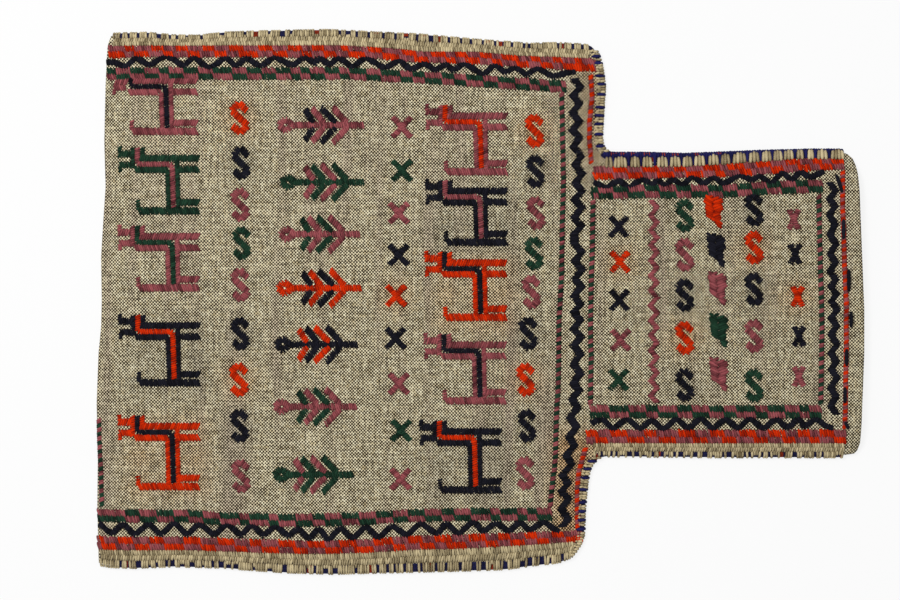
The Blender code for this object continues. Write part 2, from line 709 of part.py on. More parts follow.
def make_outer_border():
    """Two rows of blocks that follow every sewn edge, and single dotted lines down the sides."""
    b = Borders
    half = DOTTED_LINE / 2
    right = b.side_outer + half
    neck_left = b.side_outer - half
    mouth = b.mouth_outer + half
    ground = [
        (b.left, b.body_top_outer - ROW, right, b.body_top_outer + ROW),
        (neck_left, b.neck_top_outer, right, b.body_top_outer),
        (neck_left, b.neck_top_outer - ROW, mouth, b.neck_top_outer + ROW),
        (b.mouth_outer - half, b.neck_low_outer, mouth, b.neck_top_outer),
        (neck_left, b.neck_low_outer - ROW, mouth, b.neck_low_outer + ROW),
        (neck_left, b.body_low_outer, right, b.neck_low_outer),
        (b.left, b.body_low_outer - ROW, right, b.body_low_outer + ROW),
    ]
    yarn("outer_border_ground", [panel_patch(ground)], "maroon", BORDER_LIFT)
    turn = ROW + LINK
    rails = block_rails(b.left, neck_left - LINK, b.body_top_outer, BLOCK, False)
    rails += bead_rails(b.body_top_outer - turn, b.neck_top_outer + turn, b.side_outer)
    rails += block_rails(right + LINK, b.mouth_outer - turn, b.neck_top_outer, BLOCK, False)
    rails += bead_rails(b.neck_top_outer - turn, b.neck_low_outer + turn, b.mouth_outer)
    rails += block_rails(b.mouth_outer - turn, right + LINK, b.neck_low_outer, BLOCK, True)
    rails += bead_rails(b.neck_low_outer - turn, b.body_low_outer + turn, b.side_outer)
    rails += block_rails(neck_left - LINK, b.left, b.body_low_outer, BLOCK, True)
    yarn("outer_border_blocks", [strip(rails)], "orange", SECOND_LIFT)


def make_zigzags():
    b = Borders
    turn = 2 * SIDE_ZIGZAG_SWING
    top = zigzag((b.left + turn, b.body_top_zigzag), (b.side_zigzag - turn, b.body_top_zigzag),
                 ZIGZAG_SWING, ZIGZAG_PITCH)
    side = zigzag((b.side_zigzag, b.body_top_zigzag - turn), (b.side_zigzag, b.body_low_zigzag + turn),
                  SIDE_ZIGZAG_SWING, SIDE_ZIGZAG_PITCH)
    low = zigzag((b.side_zigzag - turn, b.body_low_zigzag), (b.left + turn, b.body_low_zigzag),
                 ZIGZAG_SWING, ZIGZAG_PITCH)
    yarn("body_zigzag", [ribbon(top + side + low, ZIGZAG_STROKE)], "navy", BORDER_LIFT)
    start = b.neck_side + DOTTED_LINE
    top = zigzag((start, b.neck_top_zigzag), (b.mouth_zigzag - turn, b.neck_top_zigzag),
                 ZIGZAG_SWING, ZIGZAG_PITCH)
    side = zigzag((b.mouth_zigzag, b.neck_top_zigzag - turn), (b.mouth_zigzag, b.neck_low_zigzag + turn),
                  SIDE_ZIGZAG_SWING, SIDE_ZIGZAG_PITCH)
    low = zigzag((b.mouth_zigzag - turn, b.neck_low_zigzag), (start, b.neck_low_zigzag),
                 ZIGZAG_SWING, ZIGZAG_PITCH)
    yarn("neck_zigzag", [ribbon(top + side + low, ZIGZAG_STROKE)], "navy", BORDER_LIFT)


def make_inner_borders():
    """Green rows with maroon blocks round the fields of the body and of the neck."""
    b = Borders
    half = DOTTED_LINE / 2
    right = b.side_inner + half
    ground = [
        (b.left, b.body_top_inner - ROW, right, b.body_top_inner + ROW),
        (b.side_inner - half, b.body_low_inner, right, b.body_top_inner),
        (b.left, b.body_low_inner - ROW, right, b.body_low_inner + ROW),
    ]
    yarn("body_inner_ground", [panel_patch(ground)], "green", BORDER_LIFT)
    turn = ROW + LINK
    side_left = b.side_inner - half - LINK
    rails = block_rails(b.left, side_left, b.body_top_inner, BLOCK, False)
    rails += bead_rails(b.body_top_inner - turn, b.body_low_inner + turn, b.side_inner)
    rails += block_rails(side_left, b.left, b.body_low_inner, BLOCK, True)
    yarn("body_inner_blocks", [strip(rails)], "maroon", SECOND_LIFT)
    left = b.neck_side - half
    mouth = b.mouth_inner + half
    ground = [
        (left, b.neck_top_inner - ROW, mouth, b.neck_top_inner + ROW),
        (left, b.neck_low_inner - ROW, mouth, b.neck_low_inner + ROW),
        (left, b.neck_low_inner, left + DOTTED_LINE, b.neck_top_inner),
        (mouth - DOTTED_LINE, b.neck_low_inner, mouth, b.neck_top_inner),
    ]
    yarn("neck_inner_ground", [panel_patch(ground)], "green", BORDER_LIFT)
    side_left = left + DOTTED_LINE + LINK
    mouth_left = mouth - DOTTED_LINE - LINK
    rails = bead_rails(b.neck_low_inner + turn, b.neck_top_inner - turn, b.neck_side)
    rails += block_rails(side_left, mouth_left, b.neck_top_inner, BLOCK, False)
    rails += bead_rails(b.neck_top_inner - turn, b.neck_low_inner + turn, b.mouth_inner)
    rails += block_rails(mouth_left, side_left, b.neck_low_inner, BLOCK, True)
    yarn("neck_inner_blocks", [strip(rails)], "maroon", SECOND_LIFT)


def goat_bars(u, v, drop):
    """A goat's outline round its inner line, whose corner stands at (u, v)."""
    room = INNER_STROKE / 2 + CLEARANCE + YARN / 4
    stroke = FIGURE_STROKE
    flank = GOAT_FLANK_SPREAD + stroke / 2
    prong = GOAT_TAIL_REACH
    legs = GOAT_LEG_REACH
    horn = GOAT_HORN_RISE
    head = GOAT_HEAD_REACH
    local = [
        (-prong + room, room, legs, room + stroke),
        (-prong + room, room, -prong + room + INNER_STROKE, horn),
        (-prong - room - INNER_STROKE, -room - stroke, -prong - room, horn),
        (-head, horn - 2 * stroke, -prong - room, horn - stroke),
        (-head, horn - 2 * stroke, -head + INNER_STROKE / 2, horn),
        (-head, -room, -prong - room, stroke / 2),
        (-head, -room - stroke, -head + INNER_STROKE / 2, 0.0),
        (-prong - room - INNER_STROKE, -room - stroke, -room, -room),
        (-flank, -drop, -room, -room - stroke),
        (room, -drop, flank, room),
        (room, -room - stroke, legs, -room),
        (room, stroke - drop, legs, 2 * stroke - drop),
        (-prong, -drop - stroke, legs, -drop),
        (-prong, -drop, -prong + INNER_STROKE, stroke * 2 - drop),
    ]
    return [(u + a, v + c, u + d, v + e) for a, c, d, e in local]


def goat_line_bars(u, v, drop):
    half = INNER_STROKE / 2
    end = CLEARANCE - drop
    return [
        (u - GOAT_TAIL_REACH - half, v - half, u - GOAT_TAIL_REACH + half, v + GOAT_HORN_RISE),
        (u - GOAT_TAIL_REACH - half, v - half, u + half, v + half),
        (u - half, v + end, u + half, v + half),
    ]


def make_goats():
    colours = (
        (("maroon", "navy"), ("green", "maroon"), ("maroon", "green"), ("navy", "orange"), ("orange", "navy")),
        (("maroon", "orange"), ("navy", "maroon"), ("orange", "navy"), ("maroon", "navy"), ("navy", "orange")),
    )
    for column, side in enumerate(("left", "right")):
        u = body_u(GOAT_COLUMNS[column])
        for row, (outline, line) in enumerate(colours[column]):
            v = GOAT_ROWS[column][row] * BODY_V
            drop = GOAT_DROPS[column][row]
            name = f"{side}_goat_{row + 1}"
            yarn(name, [patch_of_bars(goat_bars(u, v, drop))], outline)
            yarn(name + "_line", [patch_of_bars(goat_line_bars(u, v, drop))], line)


def swept_back(patch, start_u, middle_v):
    """Slope the upright bars of a patch back on both sides of a stem."""
    places, faces = patch
    return [(u - abs(v - middle_v) if u > start_u else u, v) for u, v in places], faces


def branch_roots(u):
    """Where the pairs of branches leave the stem, counted from its base to its tip."""
    first = u + TREE_BLOB + TREE_BRANCH_RISE
    last = u + TREE_LENGTH - TREE_BLOB
    return [first + (last - first) * index / (BRANCH_PAIRS - 1) for index in range(BRANCH_PAIRS)]


def make_trees():
    """Each tree's stem, base and two pairs of branches. The other two pairs are in the relief."""
    colours = ("maroon", "green", "maroon", "orange", "navy", "maroon", "green")
    stem = FIGURE_STROKE / 2
    u = body_u(TREE_COLUMN) - TREE_BLOB / 2
    for row, colour in enumerate(colours):
        v = TREE_ROWS[row] * BODY_V
        bars = [(u, v - stem, u + TREE_LENGTH, v + stem)]
        for share in (0.3, 0.6, 1.0):
            reach = TREE_BLOB / 2 * share
            width = TREE_BLOB / 2 * (1.25 - share)
            middle = u + TREE_BLOB / 2
            bars.append((middle - width, v - reach, middle + width, v + reach))
        for root in branch_roots(u)[1::2]:
            bars.append((root - TREE_BRANCH_STROKE, v - TREE_BRANCH_RISE, root, v + TREE_BRANCH_RISE))
        patch = swept_back(patch_of_bars(bars), u + TREE_BLOB, v)
        yarn(f"tree_{row + 1}", [patch], colour)


def second_branches():
    """The branches of each tree's second colour, clear of its stem."""
    patches = []
    clear = FIGURE_STROKE / 2 + CLEARANCE
    u = body_u(TREE_COLUMN) - TREE_BLOB / 2
    for share in TREE_ROWS:
        v = share * BODY_V
        for root in branch_roots(u)[0::2]:
            for side in (-1, 1):
                low, high = sorted((v + side * clear, v + side * TREE_BRANCH_RISE))
                bar = (root - TREE_BRANCH_STROKE, low, root, high)
                places = [(bar[0], low), (bar[2], low), (bar[2], high), (bar[0], high)]
                swept = [(a - abs(b - v), b) for a, b in places]
                patches.append((swept, [(0, 1, 2, 3)]))
    return patches


def hook(u, v):
    """An S hook as one stroke."""
    a = HOOK_WIDTH / 2
    b = HOOK_HEIGHT / 2
    share = ((0.95, 0.45), (0.55, 0.95), (-0.75, 0.85), (-0.85, 0.35),
             (0.85, -0.35), (0.75, -0.85), (-0.55, -0.95), (-0.95, -0.45))
    return ribbon([(u + a * x, v + b * y) for x, y in share], HOOK_STROKE)


def cross(u, v, width):
    """A cross of four bent arms."""
    a = width / 2
    b = CROSS_HEIGHT / 2
    s = FIGURE_STROKE / 2
    tip = s * 0.9
    places = [
        (-s, 0), (0, -s), (s, 0), (0, s),
        (-a, b - tip), (-a + 2 * tip, b), (a - 2 * tip, b), (a, b - tip),
        (a, tip - b), (a - 2 * tip, -b), (-a + 2 * tip, -b), (-a, tip - b),
    ]
    faces = [(0, 1, 2, 3), (0, 3, 5, 4), (3, 2, 7, 6), (2, 1, 9, 8), (1, 0, 11, 10)]
    return [(u + x, v + y) for x, y in places], faces


def leaf(u, v):
    """A slanted leaf with a drawn-out foot."""
    spine = ((-0.50, 0.50), (-0.20, 0.36), (0.05, 0.15), (0.0, -0.08), (0.15, -0.28), (0.50, -0.50))
    width = (0.15, 0.65, 0.95, 0.90, 0.45, 0.15)
    points = [(u + LEAF_WIDTH * x, v + LEAF_LENGTH * y) for x, y in spine]
    return ribbon(points, [LEAF_WIDTH * share for share in width])


def relief_on_front(front):
    """The small figures and the mouth's running stitches, which are fused to the front cloth."""
    patches = second_branches()
    for column in HOOK_COLUMNS:
        patches += [hook(body_u(column), share * BODY_V) for share in HOOK_ROWS]
    patches += [cross(body_u(CROSS_COLUMN), share * BODY_V, CROSS_WIDTH) for share in CROSS_ROWS]
    patches += [cross(neck_u(NECK_CROSS_COLUMN), neck_v(share), CROSS_WIDTH) for share in NECK_ROWS]
    patches += [cross(neck_u(NARROW_CROSS_COLUMN), neck_v(share), NARROW_CROSS_WIDTH) for share in NECK_ROWS]
    for column in NECK_HOOK_COLUMNS:
        patches += [hook(neck_u(column), neck_v(share)) for share in NECK_FIGURE_ROWS]
    stitch_u = MOUTH_U - HEM_WIDTH + CLEARANCE + STITCH_WIDTH
    wide = STITCH_WIDTH / 2
    long = STITCH_LENGTH / 2
    for share in STITCH_ROWS:
        v = neck_v(share)
        patches.append(patch_of_bars([(stitch_u - wide, v - long, stitch_u + wide, v + long)]))
    top = YARN_LIFT + YARN / 2
    fuse(front, yarn("small_figures", patches, "natural", top / 2, top))


def make_neck_figures():
    b = Borders
    start = b.neck_top_inner - ROW - CLEARANCE - WAVE_SWING
    end = b.neck_low_inner + ROW + CLEARANCE + WAVE_SWING
    u = neck_u(WAVE_COLUMN)
    points = zigzag((u, start), (u, end), WAVE_SWING, WAVE_PITCH)
    yarn("neck_wave", [ribbon(points, INNER_STROKE)], "maroon")
    for row, colour in enumerate(("orange", "navy", "maroon", "green", "maroon")):
        patch = leaf(neck_u(LEAF_COLUMN), neck_v(NECK_FIGURE_ROWS[row]))
        yarn(f"neck_leaf_{row + 1}", [patch], colour)


def main():
    for existing in list(bpy.data.objects):
        bpy.data.objects.remove(existing)
    front = make_front_panel()
    make_back_panel()
    hem_the_front(front)
    relief_on_front(front)
    make_seams()
    make_outer_border()
    make_zigzags()
    make_inner_borders()
    make_goats()
    make_trees()
    make_neck_figures()


main()
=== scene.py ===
"""Looks of the woven salt bag: plain-woven cloth, and every brocade and seam stitch as its own bent yarn.

Places are in millimetres in the bag's own frame (x towards the mouth, y across, z up), read from the
photograph by its scale of 0.78 mm to a pixel. They turn into metres where a mesh is made.
"""
import math

import bpy
import numpy as np
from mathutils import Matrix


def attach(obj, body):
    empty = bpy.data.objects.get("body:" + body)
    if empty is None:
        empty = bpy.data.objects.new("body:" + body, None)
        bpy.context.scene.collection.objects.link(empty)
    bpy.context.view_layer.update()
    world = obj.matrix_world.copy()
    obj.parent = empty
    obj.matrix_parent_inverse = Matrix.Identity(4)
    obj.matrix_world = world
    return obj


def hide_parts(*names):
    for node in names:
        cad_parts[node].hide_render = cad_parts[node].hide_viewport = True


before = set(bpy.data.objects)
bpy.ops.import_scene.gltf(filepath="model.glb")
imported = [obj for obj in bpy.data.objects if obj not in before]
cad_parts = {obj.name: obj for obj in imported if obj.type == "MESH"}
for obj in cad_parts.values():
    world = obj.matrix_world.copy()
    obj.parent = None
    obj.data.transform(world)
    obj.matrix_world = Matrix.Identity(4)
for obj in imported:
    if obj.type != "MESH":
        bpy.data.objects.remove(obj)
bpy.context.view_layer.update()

MM = 0.001
rng = np.random.default_rng(7)

# The bag's outline: the base fold, the shoulders and the mouth as (y, x), the long sides as (x, y)
LEFT = (
    (-208, -298), (-200, -298.5), (-160, -299.5), (-120, -299), (-80, -300), (-40, -298.5), (-20, -296.5),
    (0, -296), (35, -296.5), (60, -295), (90, -293), (125, -294), (170, -293), (200, -291.5), (210, -288))
TOP = (
    (-300, 209), (-284, 210), (-260, 210.6), (-240, 208.6), (-220, 208.3), (-200, 210.8), (-170, 211.8),
    (-120, 212.8), (-100, 212), (-80, 210.8), (-50, 209.5), (-30, 207.8), (0, 205), (20, 203.6), (40, 202),
    (60, 202.6), (80, 201.6), (88, 200.3), (92, 197))
LOW = (
    (-300, -206), (-290, -208), (-270, -208.8), (-240, -207.5), (-200, -208.6), (-180, -210.3),
    (-150, -212.3), (-115, -213.4), (-100, -213), (-50, -211.8), (0, -210.5), (20, -209.8), (45, -206.5),
    (60, -204.8), (65, -203.5), (71, -201), (75, -197), (79, -191))
SHOULDER_TOP = (
    (116, 103), (118.5, 100), (121, 97.5), (128, 96), (140, 96.5), (155, 97.5), (168, 98.4), (180, 97),
    (190, 95), (197, 92), (200, 88))
SHOULDER_LOW = (
    (-201, 71), (-197, 75), (-191, 79), (-185, 81.5), (-180, 82.2), (-165, 82.5), (-148, 84), (-140, 85),
    (-132, 86.5), (-127, 89), (-123, 93), (-121.2, 98))
NECK_TOP = (
    (96, 118.5), (104, 116.5), (130, 116.5), (160, 115.6), (195, 117), (220, 118), (260, 119), (283, 119),
    (288, 117.5), (291, 114))
NECK_LOW = ((96, -121.3), (180, -122), (287, -122), (291, -121))
MOUTH = (
    (-121, 291), (-117, 295.5), (-110, 297.5), (-80, 298.5), (-40, 300), (-5, 300), (20, 299), (45, 298),
    (85, 296.5), (100, 295.5), (107, 294), (114, 291))

# Where the neck joins the body
NECK_X = 97.0
NECK_JOIN_TOP = 116.0
NECK_JOIN_LOW = -121.2

# How the cloth lies: its edge, its crown, and its turn at the base fold
EDGE_TOP = 5.0
CROWN = 8.0
CROWN_REACH = 30.0
SEAM_INSET = 3.7
RIPPLE = 0.22
CLOTH = 1.8
FOLD_RADIUS = 1.6
FOLD_REACH = FOLD_RADIUS + CLOTH / 2
TUCK = 20.0

# The cloth's grid: the lengths that its steps divide, and the steps of the turn and of the part below it
BODY_SPAN = 390
SIDE_SPAN = 90
MIDDLE_SPAN = 237
NECK_SPAN = 203
FITTING_ROUNDS = 3
FOLD_STEPS = 8
TUCK_STEPS = 5

# The navy binding's section: depth in from the edge, height, and whether the height is above the cloth
BINDING_STEP = 2.0
BINDING_SECTION = (
    (7.0, 0.05, True), (6.8, 0.45, True), (3.0, 0.6, True), (0.9, 5.5, False), (0.1, 4.6, False),
    (0.0, 2.2, False), (0.6, 0.5, False), (2.6, 0.15, False), (2.6, 1.0, False), (1.4, 2.2, False),
    (1.5, 4.2, False), (3.0, -0.5, True))

# The wools, as dark and light; the dark end also takes the painted shade on each stitch's sides and ends
CREAM = ((88, 72, 46), (212, 195, 154))
NAVY = ((4, 4, 8), (28, 28, 38))
SEAM_NAVY = ((18, 18, 52), (36, 36, 92))
ORANGE = ((110, 12, 0), (220, 50, 2))
MAROON = ((58, 20, 25), (160, 84, 88))
GREEN = ((6, 20, 14), (34, 66, 48))
RUST = ((110, 34, 12), (170, 62, 30))
WOOL = {"cream": CREAM, "navy": NAVY, "seam_navy": SEAM_NAVY, "orange": ORANGE, "maroon": MAROON,
        "green": GREEN, "rust": RUST}

# The wool's noises to a metre, and how far each moves a stitch's tone
DYE_SCALE = 90.0
DYE_CHANGE = 0.9
FIBRE_SCALE = 1500.0
FIBRE_CHANGE = 1.1

# The front's plain weave: its cell, how far its threads waver, and its colours
CELL = 1.25
WAVER = 2.0
WEFT_LIGHT = ((208, 190, 148), (250, 241, 206))
WEFT_BAND = (214, 198, 170)
WARP_DARK = ((24, 17, 10), (58, 46, 32))
STAIN_TINTS = {"orange_stain": (255, 196, 140), "grey_stain": (206, 208, 214)}
STAIN_REACH = 13.0

# The back's weave: its ribs, the pitch of its rust stripes, and its colours
RIB = (0.7, 1.3)
STRIPE_PITCH = 48
BACK_NAVY = ((20, 20, 50), (38, 38, 84))
BACK_RUST = ((118, 36, 14), (168, 60, 30))

# A stitch: its rings along it and their sizes, its height, and the spread of its place and tone
RINGS = np.array([0.0, 0.12, 0.35, 0.65, 0.88, 1.0])
RING_SIZE = np.array([0.6, 0.9, 1.0, 1.0, 0.9, 0.6])
SIDES = 6
STITCH_DIP = 0.35
STITCH_HUMP = 1.8
STITCH_HEIGHT = 0.8
STITCH_JITTER = 0.15
STITCH_TONES = (0.4, 1.1)
# How far the painted shade darkens a stitch's sides, underside and narrow ends
SIDE_SHADE = 0.6

# Rows of stitches: how far apart they lie in the blocks and seams, and how the blocks' lean
ROW_STEP = 1.9
ROW_LEAN = 0.3

# A goat whose y is above this has no room for its horns
CROWDED_FROM = 150


def along(table, at):
    """A value read from a table of (at, value) pairs."""
    places = np.array(table, dtype=float)
    order = np.argsort(places[:, 0])
    return np.interp(at, places[order, 0], places[order, 1])


def rise(distance):
    """The crown's share of its full height at a distance in from the edge."""
    share = np.clip(distance / CROWN_REACH, 0, 1)
    return 1 - (1 - share) ** 2


def right_of_body(y):
    """The x where the body's right edge lies, or where the neck joins it."""
    upper = along(SHOULDER_TOP, y)
    lower = along(SHOULDER_LOW, y)
    return np.where(y > NECK_JOIN_TOP, upper, np.where(y < NECK_JOIN_LOW, lower, NECK_X))


def ripple(x, y):
    """Low waves of uneven length over the cloth, up to about 1.7 either way."""
    waves = np.sin(x / 13 + 1.7 * np.sin(y / 29)) * np.sin(y / 11 + 1.3 * np.sin(x / 37))
    return waves + 0.7 * np.sin(x / 31 + y / 23)


def top(x, y):
    """Height of the cloth's upper side."""
    x = np.asarray(x, dtype=float)
    y = np.asarray(y, dtype=float)
    past = np.maximum(right_of_body(y) - SEAM_INSET - x, 0)
    above = np.maximum(along(NECK_TOP, x) - SEAM_INSET - y, 0)
    below = np.maximum(y - along(NECK_LOW, x) - SEAM_INSET, 0)
    body = np.minimum(along(TOP, x) - y, y - along(LOW, x)) - SEAM_INSET
    height = CROWN * rise(x - along(LEFT, y) - FOLD_REACH) * rise(body)
    height = height * rise(np.hypot(past, above)) * rise(np.hypot(past, below))
    outside = np.clip(along(LEFT, y) + FOLD_REACH - x, 0, FOLD_REACH - 0.05)
    turned_down = FOLD_REACH - np.sqrt(FOLD_REACH ** 2 - outside ** 2)
    return EDGE_TOP + height - turned_down + RIPPLE * ripple(x, y) * np.clip(height / 4, 0, 1)


def linear(colour):
    """A screen colour from 0 to 255 as the renderer's linear one."""
    parts = [c / 255 / 12.92 if c <= 10 else ((c / 255 + 0.055) / 1.055) ** 2.4 for c in colour]
    return (*parts, 1.0)


class Nodes:
    """A material's nodes, by short calls."""

    def __init__(self, name):
        self.material = bpy.data.materials.new(name)
        self.material.use_nodes = True
        self.tree = self.material.node_tree
        self.shader = self.tree.nodes["Principled BSDF"]

    def add(self, kind, inputs=None, **settings):
        """A node, whose inputs are linked to sockets or set to values."""
        node = self.tree.nodes.new(kind)
        for key, value in settings.items():
            setattr(node, key, value)
        for key, value in (inputs or {}).items():
            if isinstance(value, bpy.types.NodeSocket):
                self.tree.links.new(value, node.inputs[key])
            else:
                node.inputs[key].default_value = value
        return node

    def math(self, operation, first, second=0.0, third=0.0):
        node = self.add("ShaderNodeMath", {0: first, 1: second, 2: third}, operation=operation)
        return node.outputs[0]

    def vector(self, operation, first, second):
        return self.add("ShaderNodeVectorMath", {0: first, 1: second}, operation=operation).outputs[0]

    def mix(self, share, first, second, blend="MIX"):
        inputs = {0: share, 6: first, 7: second}
        return self.add("ShaderNodeMix", inputs, data_type="RGBA", blend_type=blend).outputs[2]

    def noise(self, vector, scale, detail=2.0):
        node = self.add("ShaderNodeTexNoise", {"Vector": vector, "Scale": scale, "Detail": detail})
        return node.outputs["Fac"]

    def streaks(self, place, x_scale, y_scale):
        """Noise that is drawn out along the direction of its smaller scale."""
        stretched = self.add("ShaderNodeMapping", {"Vector": place, "Scale": (x_scale, y_scale, 1.0)})
        return self.noise(stretched.outputs[0], 1.0)

    def vary(self, value, noise, amount):
        """value, moved up and down by a noise about its middle of 0.5."""
        return self.math("MULTIPLY_ADD", self.math("SUBTRACT", noise, 0.5), amount, value)

    def spread(self, value, low, high):
        """value, from low to high, stretched over 0 to 1."""
        node = self.add("ShaderNodeMapRange", {"Value": value, "From Min": low, "From Max": high})
        return node.outputs["Result"]

    def checker(self, place, wide, high):
        """A weave's cells of wide by high millimetres, from -1 to 1 by turns."""
        turned = self.vector("MULTIPLY", place, (math.pi / wide, math.pi / high, 0.0))
        parts = self.add("ShaderNodeSeparateXYZ", {0: turned}).outputs
        return self.math("MULTIPLY", self.math("SINE", parts[0]), self.math("SINE", parts[1]))

    def finish(self, colour, height, depth, roughness, sheen):
        """The material, with its colour and a bump that is depth metres deep."""
        bump = self.add("ShaderNodeBump", {"Height": height, "Distance": depth, "Strength": 1.0})
        self.tree.links.new(bump.outputs["Normal"], self.shader.inputs["Normal"])
        self.tree.links.new(colour, self.shader.inputs["Base Color"])
        for key, value in (("Roughness", roughness), ("Specular IOR Level", 0.08),
                           ("Sheen Weight", sheen), ("Sheen Roughness", 0.5)):
            self.shader.inputs[key].default_value = value
        return self.material


def wool_material(name):
    """Handspun yarn: dark and light by stitch, by painted shade on each stitch's sides and ends, and by
    patches of dye, with fine fibres along it.
    """
    dark, light = WOOL[name]
    n = Nodes(name + "_yarn")
    place = n.add("ShaderNodeTexCoord").outputs["Object"]
    # Each point's tone: the stitch's own random tone plus painted shade, lower on its sides, underside and
    # ends
    tone_and_shade = n.add("ShaderNodeAttribute", attribute_name="tone_and_shade").outputs["Fac"]
    fibre = n.noise(place, FIBRE_SCALE, 3.0)
    share = n.vary(tone_and_shade, n.noise(place, DYE_SCALE, 3.0), DYE_CHANGE)
    share = n.vary(share, fibre, FIBRE_CHANGE)
    colour = n.mix(n.spread(share, 0.0, 1.0), linear(dark), linear(light))
    return n.finish(colour, fibre, 0.0002, 0.92, 0.02)


def ground_material():
    """Plain weave: cream weft dots over dark warp, in straight columns and rows that waver a little."""
    n = Nodes("ground_weave")
    place = n.add("ShaderNodeUVMap", uv_map="cloth").outputs["UV"]
    waver = n.add("ShaderNodeTexNoise", {"Vector": place, "Scale": 0.03, "Detail": 2.0}).outputs["Color"]
    shift = n.vector("MULTIPLY", n.vector("SUBTRACT", waver, (0.5, 0.5, 0.5)), (WAVER, WAVER, 0.0))
    place = n.vector("ADD", place, shift)
    checker = n.checker(place, CELL, CELL)
    grain = n.noise(place, 0.8)
    wefts = n.streaks(place, 0.6, 0.05)
    warps = n.streaks(place, 0.05, 0.6)
    clumps = n.noise(place, 0.33, 1.0)
    cover = checker
    for unevenness, amount in ((grain, 1.6), (wefts, 1.1), (warps, 1.1), (clumps, 0.6)):
        cover = n.vary(cover, unevenness, amount)
    mottle = n.spread(n.noise(place, 0.25, 4.0), 0.3, 0.65)
    bands = n.spread(n.streaks(place, 0.06, 0.004), 0.5, 0.72)
    light = n.mix(bands, n.mix(mottle, *map(linear, WEFT_LIGHT)), linear(WEFT_BAND))
    colour = n.mix(n.spread(cover, -0.1, 0.4), n.mix(mottle, *map(linear, WARP_DARK)), light)
    for name, tint in STAIN_TINTS.items():
        strength = n.add("ShaderNodeAttribute", attribute_name=name).outputs["Fac"]
        colour = n.mix(strength, colour, n.mix(1.0, colour, linear(tint), "MULTIPLY"))
    return n.finish(colour, checker, 0.0001, 0.95, 0.0)


def back_material():
    """Weft-faced navy cloth with narrow rust stripes across it."""
    n = Nodes("back_weave")
    place = n.add("ShaderNodeUVMap", uv_map="cloth").outputs["UV"]
    mottle = n.spread(n.noise(place, 0.2, 4.0), 0.25, 0.75)
    run = n.add("ShaderNodeSeparateXYZ", {0: place}).outputs[0]
    wave = n.math("SINE", n.math("MULTIPLY", run, 2 * math.pi / STRIPE_PITCH))
    navy = n.mix(mottle, *map(linear, BACK_NAVY))
    rust = n.mix(mottle, *map(linear, BACK_RUST))
    colour = n.mix(n.spread(wave, 0.965, 0.985), navy, rust)
    return n.finish(colour, n.checker(place, *RIB), 0.0005, 0.9, 0.03)


def make_piece(name, points, faces, material, nodes=()):
    """An object from points in millimetres, which rides on the bag and stands for its CAD nodes."""
    mesh = bpy.data.meshes.new(name)
    mesh.from_pydata((np.asarray(points) * MM).tolist(), [], faces)
    mesh.polygons.foreach_set("use_smooth", [True] * len(mesh.polygons))
    mesh.materials.append(material)
    mesh.update()
    piece = bpy.data.objects.new(name, mesh)
    bpy.context.scene.collection.objects.link(piece)
    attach(piece, "root")
    if nodes:
        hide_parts(*nodes)
    return piece


def point_values(piece, name, values):
    """One value for each point of a piece, which its material reads by name."""
    attribute = piece.data.attributes.new(name, "FLOAT", "POINT")
    attribute.data.foreach_set("value", values.astype(np.float32))


def cloth_uv(piece, plan):
    """Cloth places in millimetres for the weave, from one place for each point."""
    corners = np.array([loop.vertex_index for loop in piece.data.loops])
    uv = piece.data.uv_layers.new(name="cloth")
    uv.data.foreach_set("uv", plan[corners].astype(np.float32).ravel())


